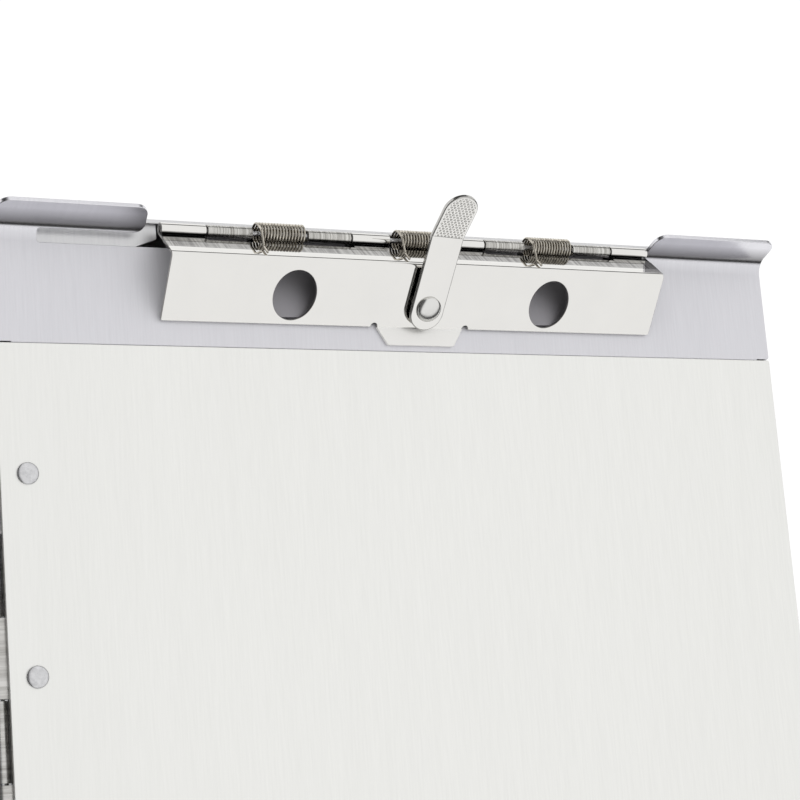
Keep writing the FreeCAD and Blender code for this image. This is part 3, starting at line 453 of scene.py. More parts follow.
def overlaid(tree, share, under, over):
    # from one colour to another by a share from 0 to 1; the one underneath may be a socket
    under = under if isinstance(under, bpy.types.NodeSocket) else (*under, 1)
    values = {"Factor": share, "A": under, "B": (*over, 1)}
    return addNode(tree, "Mix", values, data_type="RGBA").outputs["Result"]


def blended(tree, share, low, high):
    # low + share * (high - low), where either may be a number or a socket
    return addNode(tree, "Mix", {"Factor": share, "A": low, "B": high}).outputs["Result"]


def bumped(tree, shader, value, strength, depth):
    bump = addNode(tree, "Bump", {"Height": value, "Strength": strength, "Distance": depth})
    feed(tree, shader, {"Normal": bump.outputs["Normal"]})


def placeShare(tree, axis, low, high, even=False):
    # 0 on one side of a place on the object and 1 beyond another, in metres; even takes both signs alike
    value = addNode(tree, "SeparateXYZ", {"Vector": objectSpot(tree)}).outputs[axis]
    return spread(tree, maths(tree, "ABSOLUTE", value) if even else value, 0.0, 1.0, low, high)


def slantShare(tree, way, axis):
    # how far a place lies from the hinge's axis along a slanted way, in metres
    away = addNode(tree, "VectorMath", {0: objectSpot(tree), 1: axis}, operation="SUBTRACT").outputs["Vector"]
    return addNode(tree, "VectorMath", {0: away, 1: way}, operation="DOT_PRODUCT").outputs["Value"]


def brushedSheet(name, look):
    # fine short lines along Y: colour, roughness and bump all follow the same noise
    dark, light, roughness = look["dark"], look["light"], look["roughness"]
    mean = tuple((a + b) / 2 for a, b in zip(dark, light))
    material, tree, shader = freshMaterial(name, mean, roughness)
    fine = noiseField(tree, look["scale"], look["stretch"], 4.0, 0.6)
    broad = noiseField(tree, look["scale"] * 0.15, look["stretch"], 3.0)
    both = maths(tree, "MULTIPLY_ADD", broad, look["broad"], fine)
    shift = look["broad"] * 0.5
    colour = overlaid(tree, spread(tree, both, 0.0, 1.0, 0.3 + shift, 0.7 + shift), dark, light)
    rough = spread(tree, fine, roughness - 0.04, roughness + 0.05)
    if "shadeUnderClip" in look:
        # painted shade where the clip covers it: darker behind one line across and inside two along
        behind = placeShare(tree, "Y", *look["shadeUnderClipFrom"])
        inside = placeShare(tree, "X", *look["shadeUnderClipHalf"], True)
        colour = overlaid(tree, maths(tree, "MULTIPLY", behind, inside), colour, look["shadeUnderClip"])
        # painted shade in the bend at the foot of the lips, fading out towards their top
        above, below = placeShare(tree, "Z", *look["creaseShadeEdge"]), placeShare(tree, "Z", *look["creaseShadeFade"])
        colour = overlaid(tree, maths(tree, "MULTIPLY", above, below), colour, look["foot"])
        # the flat is anodised and partly diffuse, and the lips above it are bare and smoother
        bare = placeShare(tree, "Z", *look["bareFrom"])
        rough = blended(tree, bare, rough, look["bareRough"])
        feed(tree, shader, {"Metallic": blended(tree, bare, look["metal"], 1.0)})
    feed(tree, shader, {"Base Color": colour, "Roughness": rough})
    bumped(tree, shader, fine, look["bump"], 0.00004)
    return material


def polishedPlate(name, look):
    # bright nickel with faint polishing haze, rubbed a little duller along the cut edges
    plain, roughness = look["colour"], look["roughness"]
    material, tree, shader = freshMaterial(name, plain, roughness)
    haze = noiseField(tree, look["hazeScale"], (1, 1, 1), 3.0)
    worn = addNode(tree, "Attribute", attribute_name="rimWear").outputs["Fac"]
    hazed = spread(tree, haze, roughness * 0.7, roughness * 1.4)
    rough = maths(tree, "MULTIPLY_ADD", worn, look["edgeRough"], hazed)
    colour = overlaid(tree, spread(tree, haze, 0.0, 1.0), tuple(c * 0.975 for c in plain), plain)
    colour = overlaid(tree, worn, colour, look["edgeColour"])
    if "reflectionAndWear" in look:
        # painted reflection and shade beside the knuckles, with streaked scratches: bands along the flange's fall,
        # on its upper side only
        reflectionAndWear = look["reflectionAndWear"]
        lean, fade = math.radians(reflectionAndWear["angle"]), reflectionAndWear["fade"]
        along = slantShare(tree, (0, -math.cos(lean), math.sin(lean)), reflectionAndWear["axis"])
        over = slantShare(tree, (0, math.sin(lean), math.cos(lean)), reflectionAndWear["axis"])
        side = maths(tree, "MULTIPLY", spread(tree, over, 1.0, 0.0, *reflectionAndWear["over"]),
                     spread(tree, over, 0.0, 1.0, *reflectionAndWear["under"]))
        streaks = spread(tree, noiseField(tree, reflectionAndWear["scale"], reflectionAndWear["stretch"]), *reflectionAndWear["streaks"])
        for start, end, strength, paint in reflectionAndWear["bands"]:
            band = maths(tree, "MULTIPLY", spread(tree, along, 0.0, strength, start, start + fade),
                         spread(tree, along, 1.0, 0.0, end - fade, end))
            if strength < 1:
                band = maths(tree, "MULTIPLY", band, streaks)
            colour = overlaid(tree, maths(tree, "MULTIPLY", band, side), colour, paint)
        # the press tab is satin, partly diffuse and painted lighter: its pale colour stands in for the bright
        # reflection it shows
        tab = placeShare(tree, "Y", *look["tabFrom"])
        colour, rough = overlaid(tree, tab, colour, look["tab"]), blended(tree, tab, rough, look["tabRough"])
        feed(tree, shader, {"Metallic": blended(tree, tab, 1.0, look["tabMetal"])})
    feed(tree, shader, {"Base Color": colour, "Roughness": rough})
    return material


def turnedSteel(name, look):
    # rings left by turning: lines square to the hinge, some of them deep and dark
    roughness = look["roughness"]
    material, tree, shader = freshMaterial(name, look["colour"], roughness)
    rings = noiseField(tree, look["scale"], look["stretch"], 6.0, 0.7)
    patches = noiseField(tree, 160.0, (1, 1, 1), 3.0)
    colour = overlaid(tree, spread(tree, rings, 0.0, 1.0, 0.36, 0.62), look["dark"], look["colour"])
    rough = spread(tree, patches, roughness * 0.7, roughness * 1.5)
    if "shadeUnderClip" in look:
        # painted shade on the flat below the knuckles, under the blade, which is also rougher
        flat = placeShare(tree, "Z", *look["shadeUnderClipBelow"])
        colour, rough = overlaid(tree, flat, colour, look["shadeUnderClip"]), blended(tree, flat, rough, look["dullRough"])
    feed(tree, shader, {"Base Color": colour, "Roughness": rough})
    bumped(tree, shader, rings, look["bump"], 0.0001)
    return material


writingFinish = brushedSheet("writingAluminium", {
    "dark": (0.845, 0.845, 0.82), "light": (0.90, 0.90, 0.875), "roughness": 0.46,
    "scale": 1500.0, "stretch": (1.0, 0.05, 1.0), "broad": 0.25, "bump": 0.05})
deckFinish = brushedSheet("deckAluminium", {
    "dark": (0.745, 0.74, 0.775), "light": (0.80, 0.795, 0.83), "roughness": 0.50, "metal": 0.35,
    "scale": 1500.0, "stretch": (1.0, 0.05, 0.05), "broad": 0.25, "bump": 0.05,
    "bareRough": 0.24, "bareFrom": (0.0260, 0.0272),
    # the dark colour on the flat under the clip is painted shade
    "shadeUnderClip": (0.21, 0.205, 0.22), "shadeUnderClipFrom": (0.1484, 0.1490), "shadeUnderClipHalf": (0.0604, 0.0600),
    # the foot colour is painted shade in the bend at the foot of the lips
    "foot": (0.24, 0.235, 0.24), "creaseShadeEdge": (0.0274, 0.02765), "creaseShadeFade": (0.0335, 0.0279)})
trayFinish = brushedSheet("trayAluminium", {
    "dark": (0.68, 0.68, 0.69), "light": (0.75, 0.75, 0.755), "roughness": 0.40,
    "scale": 1500.0, "stretch": (1.0, 0.05, 0.05), "broad": 0.3, "bump": 0.06})
nickelLook = {
    "colour": (0.80, 0.79, 0.765), "roughness": 0.045, "hazeScale": 90.0, "edgeRough": 0.12,
    "edgeColour": (0.52, 0.51, 0.49)}
nickelFinish = polishedPlate("polishedNickel", nickelLook)
headFinish = polishedPlate("headNickel", {
    **nickelLook, "roughness": 0.17, "colour": (0.74, 0.735, 0.715)})
bladeFinish = polishedPlate("bladeNickel", {
    # the tab's pale colour is painted light, in place of the tab's bright reflection
    **nickelLook, "tab": (0.90, 0.89, 0.865), "tabRough": 0.3, "tabMetal": 0.35, "tabFrom": (0.1480, 0.1474),
    "reflectionAndWear": {"angle": 48.7, "axis": (0, 0.1715, 0.0296), "fade": 0.0003,
               "over": (-0.0006, -0.0002), "under": (-0.0013, -0.0010),
               "scale": 1400.0, "stretch": (1.0, 0.04, 0.04), "streaks": (0.6, 1.25),
               # bands: a black painted reflection of the knuckles' underside, a grey streaked band of painted
               # reflection and scratches, and a dark painted line at the fold
               "bands": ((-0.0003, 0.0034, 1.0, (0.03, 0.03, 0.03)),
                         (0.0031, 0.0080, 0.8, (0.17, 0.165, 0.16)),
                         (0.0078, 0.0085, 0.9, (0.10, 0.10, 0.10)))}})
baseFinish = turnedSteel("turnedSteel", {
    "colour": (0.72, 0.71, 0.68), "dark": (0.26, 0.25, 0.23), "roughness": 0.22,
    "scale": 1500.0, "stretch": (1.0, 0.02, 0.02), "bump": 0.35,
    # the dark colour on the flat under the blade is painted shade
    "shadeUnderClip": (0.39, 0.38, 0.40), "dullRough": 0.62, "shadeUnderClipBelow": (0.0274, 0.02695)})
leafFinish = turnedSteel("hingeLeafSteel", {
    "colour": (0.66, 0.65, 0.63), "dark": (0.38, 0.37, 0.35), "roughness": 0.28,
    "scale": 900.0, "stretch": (0.02, 1.0, 0.02), "bump": 0.2})
wireFinish = turnedSteel("springWire", {
    "colour": (0.70, 0.66, 0.58), "dark": (0.36, 0.33, 0.28), "roughness": 0.12,
    "scale": 700.0, "stretch": (1.0, 0.6, 0.6), "bump": 0.1})
rivetFinish = turnedSteel("rivetAluminium", {
    "colour": (0.72, 0.72, 0.73), "dark": (0.55, 0.55, 0.56), "roughness": 0.30,
    "scale": 600.0, "stretch": (1.0, 1.0, 1.0), "bump": 0.12})
print("materials ready:", len(bpy.data.materials))


# the clip's hinge: where its stations end along half of the clip's width
hinge = {"y": 171.5, "z": 29.6, "half": 76.0, "gap": 0.4, "bore": 0.75, "pin": 0.7, "pinHalf": 75.0,
         "ends": (8.892, 20.824, 33.972, 49.856, 63.004)}
ends = hinge["ends"]
bladeStations = ((ends[0], ends[1]), (ends[4], hinge["half"]))
baseStations = ((ends[1], ends[2]), (ends[3], ends[4]))


def fingered(stations, s0, s1, side):
    # the rolled edge of a blank from right to left: out to s1 at each station, back to s0 between
    gap = hinge["gap"] / 2
    spans = [(a + gap, b - gap) for a, b in stations]
    spans = sorted(spans + [(-b, -a) for a, b in spans], reverse=True)
    points = []
    for low, high in spans:
        points += [(high, s0), (high, s1), (low, s1), (low, s0)]
    return np.array(points[1:-1] if side else points)


# blade: face, fold, flange and rolled knuckles in one strip of polished plate
blade = {"thick": 0.9, "faceAngle": 36.4, "flangeAngle": 48.7, "foldRadius": 1.5, "foot": (147.630, 26.906),
         "face": 17.653, "faceLength": 19.03, "flange": 10.728, "notch": 3.8, "roll": 285.0, "edge": 0.16,
         "tabFront": 142.73, "tabTop": 27.05, "tabBend": 0.5, "tabRoot": 26.5, "tabTip": 20.6,
         "tabRelief": 0.95, "tabNeck": -0.15, "tabCorner": 1.1, "tabBeside": 0.3, "biteAt": 0.25,
         "corner": 0.6, "cornerRun": 3.0, "notchEase": (0.2, 0.4),
         "holeWide": 6.2, "holeTall": 7.15, "holeAt": (39.52, 8.43)}
fall = blade["faceAngle"]
turnOver = -(fall + blade["flangeAngle"])
upperRuns = [(blade["foldRadius"], turnOver), (blade["flange"], 0), (hinge["bore"], blade["roll"])]
bladeLine = sectionLine(blade["foot"], fall, [(blade["face"], 0)] + upperRuns)
# the tab leaves the face where its level meets the slope, through a small bend tangent to both
meet = (blade["tabTop"] - blade["foot"][1]) / math.sin(math.radians(fall))
tangent = blade["tabBend"] * math.tan(math.radians(fall / 2))
corner = blade["foot"][0] + meet * math.cos(math.radians(fall))
tabFlat = corner - tangent - blade["tabFront"]
tabEnd = meet + tangent
tabStart = tabEnd - blade["tabBend"] * math.radians(fall) - tabFlat
tabLine = sectionLine((blade["tabFront"], blade["tabTop"]), 0,
                      [(tabFlat, 0), (blade["tabBend"], fall), (blade["face"] - tabEnd, 0)] + upperRuns, tabStart)
bendTab, bendBlade = extruded(tabLine), extruded(bladeLine)


def bladeBend(x, s, h):
    # the tab turns level with the deck, and the face beside it stays straight
    inTab = (np.abs(x) < blade["tabRoot"] / 2 + blade["tabBeside"])[:, None]
    return tuple(np.where(inTab, a, b) for a, b in zip(bendTab(x, s, h), bendBlade(x, s, h)))


sTangent = bladeLine[2, 0] + blade["flange"]
sNotch, sRoll = sTangent - blade["notch"], lineEnd(bladeLine)
half, root, tip, bite = hinge["half"], blade["tabRoot"] / 2, blade["tabTip"] / 2, blade["tabRelief"]
neck, tabCorner = blade["tabNeck"], blade["tabCorner"]
tabSide = roundCorners(
    [(root + bite, 0), (root, neck), (tip, tabStart), (-tip, tabStart), (-root, neck), (-root - bite, 0)],
    [0, 0, tabCorner, tabCorner, 0, 0])[1:-1]
biteRight = arcPoints((root + bite, blade["biteAt"]), bite, 195, -15, 14)
biteLeft = biteRight[::-1] * [-1, 1]
run, easeRadii = blade["cornerRun"], [0, blade["corner"], 0]
easeIn, easeDown = blade["notchEase"]
bladeLoop = np.concatenate([
    biteLeft, tabSide[::-1], biteRight,
    roundCorners([(half - run, 0), (half, 0), (half, run)], easeRadii)[:-1],
    [(half, sNotch - easeDown), (half - easeIn, sNotch)],
    fingered(bladeStations, sNotch, sRoll, True),
    [(-half + easeIn, sNotch), (-half, sNotch - easeDown)],
    roundCorners([(-half, run), (-half, 0), (-half + run, 0)], easeRadii)[1:-1],
])
holeX, holeS = blade["holeAt"]
ring = arcPoints((0, 0), 1.0, 0, 360, 97)[:-1] * [blade["holeWide"], blade["holeTall"]]
bladeHoles = [ring + [side * holeX, holeS] for side in (-1, 1)]
bladeRows = np.concatenate([bendRows(bladeLine), bendRows(tabLine, 5.0)[:9]])
addPiece("clip_blade_plate",
         sheetArrays([bladeLoop] + bladeHoles, bladeBend, bladeRows, blade["thick"], blade["edge"]),
         bladeFinish, "clip", ["clip_blade"])


# clip base: a plate on the deck whose lugs reach behind it, rise and roll over the pin
base = {"thick": 0.9, "front": 149.6, "top": 26.9, "rear": 166.4, "bend": 0.6, "roll": 285.0, "edge": 0.14,
        "corner": 1.5, "cornerRun": 2.0}
webY = hinge["y"] + hinge["bore"]
baseLine = sectionLine((base["front"], base["top"]), 0, [
    (webY - base["bend"] - base["front"], 0), (base["bend"], 90),
    (hinge["z"] - base["top"] - base["bend"], 0), (hinge["bore"], base["roll"])])
baseRear, baseHalf, run, baseCorner = base["rear"] - base["front"], ends[4], base["cornerRun"], base["corner"]
baseLoop = np.concatenate([
    roundCorners([(-baseHalf, run), (-baseHalf, 0), (baseHalf, 0), (baseHalf, run)],
                 [0, baseCorner, baseCorner, 0])[1:-1],
    [(baseHalf, baseRear)],
    fingered(baseStations, baseRear, lineEnd(baseLine), False),
    [(-baseHalf, baseRear)],
])
addPiece("clip_base_leaf",
         sheetArrays([baseLoop], extruded(baseLine), bendRows(baseLine), base["thick"], base["edge"]),
         baseFinish, "tray", ["clip_base_plate"])


# clip's hinge pin: it ends inside the outer knuckles, its edges eased
pin, pinHalf = hinge["pin"], hinge["pinHalf"]
pinEnd = np.array([(pin, pinHalf - 0.2), (pin - 0.05, pinHalf - 0.07), (pin - 0.15, pinHalf), (0, pinHalf)])
addPiece("clip_pin_rod",
         spun(np.concatenate([pinEnd[::-1] * [1, -1], pinEnd]), (0, hinge["y"], hinge["z"]), (1, 0, 0), 40),
         rivetFinish, "tray", ["clip_hinge_pin"])


# lever stack on the blade's face: washer, lever and domed rivet
stack = {"down": 12.2, "washer": 1.1, "washerRadius": 3.6, "washerBore": 2.03, "chamfer": 0.1, "play": 0.05,
         "sheet": 1.2, "headRadius": 3.6, "headHeight": 1.5, "tailRadius": 3.2, "tailHeight": 0.9, "shank": 2.0}
slope = math.radians(fall)
faceUp = np.array([0, math.cos(slope), math.sin(slope)])
faceOut = np.array([0, -math.sin(slope), math.cos(slope)])
rivetSpot = np.array([0, *blade["foot"]]) + faceUp * (blade["faceLength"] - stack["down"])
stackTop = stack["washer"] + stack["sheet"] + 2 * stack["play"]
# head: the share of its height at a share r of its radius is the root of 1 minus r to the third
reach = np.linspace(0, 1, 22) ** 0.6
dome = np.column_stack([stack["headRadius"] * reach,
                        stackTop + stack["headHeight"] * (0.2 + 0.8 * np.sqrt(1 - reach ** 3))])
under, tail, tailEnd = -blade["thick"], stack["tailRadius"], stack["tailHeight"]
rivetProfile = np.concatenate([
    [(0, under - tailEnd), (tail * 0.8, under - tailEnd), (tail * 0.95, under - tailEnd * 0.8),
     (tail, under - tailEnd * 0.5), (tail, under), (stack["shank"], under), (stack["shank"], stackTop),
     (stack["headRadius"], stackTop)],
    dome[::-1]])
addPiece("lever_rivet_head", spun(rivetProfile, rivetSpot, faceOut, 72), headFinish, "clip",
         ["lever_rivet"])
rim, bore, high, chamfer = (stack[key] for key in ("washerRadius", "washerBore", "washer", "chamfer"))
ringProfile = [(bore, 0), (rim - chamfer, 0), (rim, chamfer), (rim, high - chamfer), (rim - chamfer, high),
               (bore, high), (bore, 0)]
addPiece("lever_spacer", spun(ringProfile, rivetSpot, faceOut, 56), nickelFinish, "clip",
         ["lever_washer"])

lever = {"drop": 1.45, "width": 9.9, "arm": 21.0, "pad": 13.9, "angle": 18.1, "turn": 2.6, "bendRadius": 0.6,
         "edge": 0.28, "bore": 2.05, "knurlGap": 1.1, "knurlRow": 0.8, "knurlReach": 0.405, "knurlDepth": 0.19,
         "knurlStart": 21.4, "knurlRim": 0.75, "grid": 0.105}
easing = lever["bendRadius"] * math.tan(math.radians(lever["angle"] / 2))
leverLine = sectionLine((0, 0), 0, [(lever["arm"] - easing, 0), (lever["bendRadius"], lever["angle"]),
                                    (lever["pad"] - easing, 0)])
leverEnd, wide = lineEnd(leverLine), lever["width"] / 2
leverBase = rivetSpot + faceOut * (stack["washer"] + stack["play"] + stack["sheet"])
rest = math.radians(lever["turn"])
rightward = np.array([1.0, 0, 0])
leverUp = math.cos(rest) * faceUp + math.sin(rest) * rightward
leverAside = math.cos(rest) * rightward - math.sin(rest) * faceUp


def knurl(x, s):
    # rows of small pits, every second row moved by half a gap: depth falls off as a smooth bowl
    row = (s - lever["knurlStart"]) / lever["knurlRow"]
    near = np.round(row)
    shift = np.where(near % 2 == 0, 0.0, 0.5)
    column = x / lever["knurlGap"] - shift
    dx = (column - np.round(column)) * lever["knurlGap"]
    ds = (row - near) * lever["knurlRow"]
    inner = np.hypot(x, np.maximum(s - (leverEnd - wide), 0)) < wide - lever["knurlRim"]
    on = (near >= 0) & inner
    fill = np.clip(1 - (np.abs(dx) + np.abs(ds)) / lever["knurlReach"], 0, 1) * on
    depth = -lever["knurlDepth"] * fill * fill * (3 - 2 * fill)
    rate = -lever["knurlDepth"] * 6 * fill * (1 - fill) * on / lever["knurlReach"]
    return depth, -rate * np.sign(dx), -rate * np.sign(ds)


leverLoop = np.concatenate([
    arcPoints((0, -lever["drop"]), wide, 180, 360, 60),
    arcPoints((0, leverEnd - wide), wide, 0, 180, 50),
])
gridX, gridS = np.meshgrid(np.arange(-wide, wide, lever["grid"]),
                           np.arange(lever["knurlStart"] - 0.6, leverEnd, lever["grid"]))
knurlGrid = np.column_stack([gridX.ravel(), gridS.ravel()])
leverHole = arcPoints((0, 0), lever["bore"], 0, 360, 49)[:-1]
addPiece("thumb_lever_plate",
         sheetArrays([leverLoop, leverHole], extruded(leverLine, leverAside, leverUp, faceOut, leverBase),
                     bendRows(leverLine, 2.0), stack["sheet"], lever["edge"], knurl, knurlGrid, 5),
         nickelFinish, "lever", ["thumb_lever"])


# springs: the leg on the flange, the coil round the pin and the leg under the deck
spring = {"wire": 0.33, "radius": 2.76, "turns": 15.0, "endGap": 0.9, "room": 15.884, "lift": 0.3,
          "legRun": 3.4, "legDrop": 4.2, "legEnd": 1.3, "legBend": 2.0, "fixedAngle": 33.0, "fixedLength": 10.0,
          "flange": 12.105}
lay = math.radians(blade["flangeAngle"])
upFlange = np.array([0, -math.cos(lay), math.sin(lay)])
offFlange = np.array([0, math.sin(lay), math.cos(lay)])
firstAngle = math.atan2(offFlange[2], offFlange[1])
sweep = firstAngle - math.radians(spring["fixedAngle"] - 90) + 2 * math.pi * spring["turns"]
rise = (spring["room"] - 2 * spring["endGap"] - 2 * spring["wire"]) / sweep


def springWire(middle):
    # helix: x grows by rise and the angle falls, both by the turn; its two legs leave it tangent
    axis = np.array([middle - rise * sweep / 2, hinge["y"], hinge["z"]])
    turned = np.linspace(0, sweep, 560)
    angle = firstAngle - turned
    radius = spring["radius"]
    coil = axis + np.column_stack([rise * turned, radius * np.cos(angle), radius * np.sin(angle)])
    seat = hinge["bore"] - spring["wire"] - spring["lift"]
    legTop = spring["flange"] - spring["legEnd"]
    run, drop = spring["legRun"], spring["legRun"] + spring["legDrop"]

    def beside(along, height):
        return axis + upFlange * along + offFlange * height + np.array([-rise / radius * along, 0, 0])

    leg = softPath([beside(legTop, -seat), beside(drop, -seat),
                    beside(run, radius), coil[0]], spring["legBend"])
    last = firstAngle - sweep
    away = np.array([rise, radius * math.sin(last), -radius * math.cos(last)])
    away /= np.linalg.norm(away)
    tail = coil[-1] + np.linspace(0, spring["fixedLength"], 24)[1:, None] * away
    return np.concatenate([leg[:-1], coil, tail])


sideMiddle = ends[2] + spring["room"] / 2
for side, middle in (("left", -sideMiddle), ("centre", 0.0), ("right", sideMiddle)):
    reach = rise * sweep / 2
    start = Vector((middle + reach, hinge["y"], hinge["z"])) * mm
    end = Vector((middle - reach, hinge["y"], hinge["z"])) * mm
    addPiece("clip_spring_wire_" + side, wireTube(springWire(middle), spring["wire"]), wireFinish,
             ("tray", "clip", start, end), ["clip_spring_" + side])


# deck: front flange, flat and guard lips in one strip, with two side flanges under it
deck = {"thick": 1.2, "front": 141.24, "rear": 167.4, "top": 26.0, "flange": 6.0, "bend": 0.3, "half": 120.0,
        "flangeHalf": 115.6, "lipBend": 5.3, "lipAngle": 68.0, "lip": 7.2, "rightEnd": 77.3, "leftEnd": 80.7,
        "slotLength": 27.0, "slotTurn": 39.0, "corner": 3.6, "edge": 0.18, "sideFlange": 9.0, "wall": 118.8,
        "gap": 2.0, "endLean": 1.7, "footCorner": 2.4, "flangeCorner": 1.5, "nick": 0.8, "sideStep": 0.05,
        "sideCorner": 2.0, "sideEdge": 0.15}
drop = deck["flange"] + deck["thick"] - deck["bend"]
deckLine = sectionLine((deck["front"], deck["top"] - deck["bend"] - drop), 90, [
    (drop, 0), (deck["bend"], -90), (deck["rear"] - deck["front"] - deck["bend"], 0),
    (deck["lipBend"], deck["lipAngle"]), (deck["lip"], 0)])
sFlat, sRear, sLip = deckLine[2, 0], deckLine[3, 0], deckLine[4, 0]
sTop, sSlot = sLip + deck["lip"], sRear + deck["lipBend"] * math.radians(deck["slotTurn"])
sideOut, footOut, lipCorner = deck["half"], deck["flangeHalf"], deck["corner"]
slotIn, slotOut = -deck["leftEnd"], -deck["leftEnd"] - deck["slotLength"]
sSide, nick, flangeCorner = sFlat - deck["sideStep"], deck["nick"], deck["flangeCorner"]
deckLoop = roundCorners(
    [(footOut, 0), (footOut, sSide), (sideOut, sSide), (sideOut, sTop),
     (deck["rightEnd"], sTop), (deck["rightEnd"], sRear), (slotOut, sRear), (slotOut, sSlot),
     (slotIn + deck["endLean"], sSlot), (slotIn, sTop), (-sideOut, sTop), (-sideOut, sSide),
     (-footOut, sSide), (-footOut, 0)],
    [flangeCorner, 0, nick, lipCorner, lipCorner, nick, nick, nick, deck["footCorner"], lipCorner, lipCorner,
     nick, 0, flangeCorner])


def wallPlate(out):
    # an upright flat flange square to X on the inner side of a wall; out is +1 on the right and -1 on the left
    high, y0, y1 = deck["sideFlange"], deck["front"] + deck["gap"], deck["rear"]
    line = sectionLine((deck["top"] - deck["thick"] - high, 0), 0, [(high, 0)])
    bend = extruded(line, (0, out, 0), (0, 0, 1), (out, 0, 0), (out * deck["wall"], 0, 0))
    low, far = (y0, y1) if out > 0 else (-y1, -y0)
    foot = deck["sideCorner"]
    loop = roundCorners([(low, 0), (far, 0), (far, high), (low, high)], [foot, foot, 0, 0])
    return sheetArrays([loop], bend, np.zeros(0), deck["thick"], deck["sideEdge"])


addPiece("clip_deck_sheet",
         joined(sheetArrays([deckLoop], extruded(deckLine), bendRows(deckLine, 4.0), deck["thick"], deck["edge"]),
                wallPlate(-1), wallPlate(1)),
         deckFinish, "tray", ["clip_deck"])


# lid: the flat writing plate
lid = {"half": 120.0, "front": -175.0, "rear": 141.16, "top": 26.0, "thick": 1.2, "edge": 0.1,
       "corners": (3.0, 3.0, 0.5, 0.5)}
lidLine = sectionLine((lid["front"], lid["top"]), 0, [(lid["rear"] - lid["front"], 0)])
lidLoop = plateLoop(lid["half"], lineEnd(lidLine), lid["corners"])
addPiece("lid_writing_plate",
         sheetArrays([lidLoop], extruded(lidLine), np.zeros(0), lid["thick"], lid["edge"]),
         writingFinish, "lid", ["lid_plate"])


# tray: one wall profile carried round a rounded rectangle, its rim height a function of the place
tray = {"halfX": 120.0, "halfY": 175.0, "corner": 3.0, "sheet": 1.2, "bend": 2.0, "rim": 24.8, "rear": 26.0,
        "rearHalf": 117.0, "step": 24.0, "stepY": (-167.4, 133.5), "notchY": -62.0, "notchR": 11.0, "notchZ": 28.8,
        "rimIn": (0, 0.06, 0.2, 1.0, 1.14, 1.2), "rimDown": (0.2, 0.06, 0, 0, 0.06, 0.2)}


def trayPath():
    # corner arcs and straight sides, with points close together where the rim changes
    r, hx, hy = tray["corner"], tray["halfX"], tray["halfY"]
    quarter = np.radians(np.linspace(0, 90, 9))
    spots, sides = [], []

    def corner(cx, cy, first):
        ray = np.column_stack([np.cos(quarter + first), np.sin(quarter + first)])
        spots.append(np.array([cx, cy]) + r * ray)
        sides.append(ray)

    def straight(x, y, normal):
        points = np.column_stack(np.broadcast_arrays(x, y))
        spots.append(points)
        sides.append(np.tile(np.array(normal, float), (len(points), 1)))

    straight(np.linspace(-hx + r, hx - r, 40), -hy, (0, -1))
    corner(hx - r, -hy + r, -math.pi / 2)
    bite = math.sqrt(tray["notchR"] ** 2 - (tray["notchZ"] - tray["rim"]) ** 2)
    straight(hx, np.concatenate([
        np.linspace(-hy + r, tray["notchY"] - bite, 16)[1:],
        tray["notchY"] + bite * np.sin(np.linspace(-math.pi / 2, math.pi / 2, 41))[1:],
        np.linspace(tray["notchY"] + bite, hy - r, 30)[1:-1]]), (1, 0))
    corner(hx - r, hy - r, 0)
    straight(np.linspace(tray["rearHalf"], -tray["rearHalf"], 40), hy, (0, 1))
    corner(-hx + r, hy - r, math.pi / 2)
    low, high = tray["stepY"]
    straight(-hx, np.concatenate([
        np.linspace(hy - r, high + 0.02, 8)[1:], np.linspace(high, low, 60),
        np.linspace(low - 0.02, -hy + r, 4)[:-1]]), (-1, 0))
    corner(-hx + r, -hy + r, math.pi)
    spots, sides = np.concatenate(spots), np.concatenate(sides)
    gap = np.linalg.norm(spots - np.roll(spots, 1, axis=0), axis=1)
    return spots[gap > 1e-5], sides[gap > 1e-5]


traySpots, traySides = trayPath()
px, py = traySpots.T
rimZ = np.full(len(px), tray["rim"])
rimZ = np.where((py > tray["halfY"] - 0.01) & (np.abs(px) < tray["rearHalf"] + 0.005), tray["rear"], rimZ)
rimZ = np.where((px < -tray["halfX"] + 0.01) & (py < tray["stepY"][1] + 0.005) & (py > tray["stepY"][0] - 0.005),
                tray["step"], rimZ)
dip = tray["notchR"] ** 2 - (py - tray["notchY"]) ** 2
notchZ = tray["notchZ"] - np.sqrt(np.maximum(dip, 0))
rimZ = np.where((px > tray["halfX"] - 0.01) & (dip > 0), np.minimum(rimZ, notchZ), rimZ)
# profile from the floor's outer side round the bend, up the wall, over the rim and down inside
turn = np.radians(np.linspace(0, 90, 7))
b, t = tray["bend"], tray["sheet"]
outerIn, outerZ = b - b * np.sin(turn), b - b * np.cos(turn)
innerIn, innerZ = (t + (b - t) * (1 - np.sin(turn)))[::-1], (b - (b - t) * np.cos(turn))[::-1]
insets = np.concatenate([outerIn, tray["rimIn"], innerIn])
rimLevels = rimZ[None] - np.array(tray["rimDown"])[:, None]
levels = np.concatenate([np.tile(outerZ[:, None], len(px)), rimLevels, np.tile(innerZ[:, None], len(px))])
spots = traySpots[None] - insets[:, None, None] * traySides[None]
trayGrid = np.concatenate([spots, levels[..., None]], -1)
rings, around = trayGrid.shape[:2]
index = np.arange(rings * around).reshape(rings, around)
ahead = np.roll(index, -1, axis=1)
wallQuads = np.stack([index[:-1], ahead[:-1], ahead[1:], index[1:]], -1).reshape(-1, 4)
trayFaces = [wallQuads, index[:1, ::-1], index[-1:]]
rimWear = np.zeros((rings, around))
rimWear[len(turn):-len(turn)] = 1
addPiece("tray_pan_sheet", (trayGrid.reshape(-1, 3), trayFaces, None, rimWear.ravel()), trayFinish, "tray",
         ["tray_pan"])

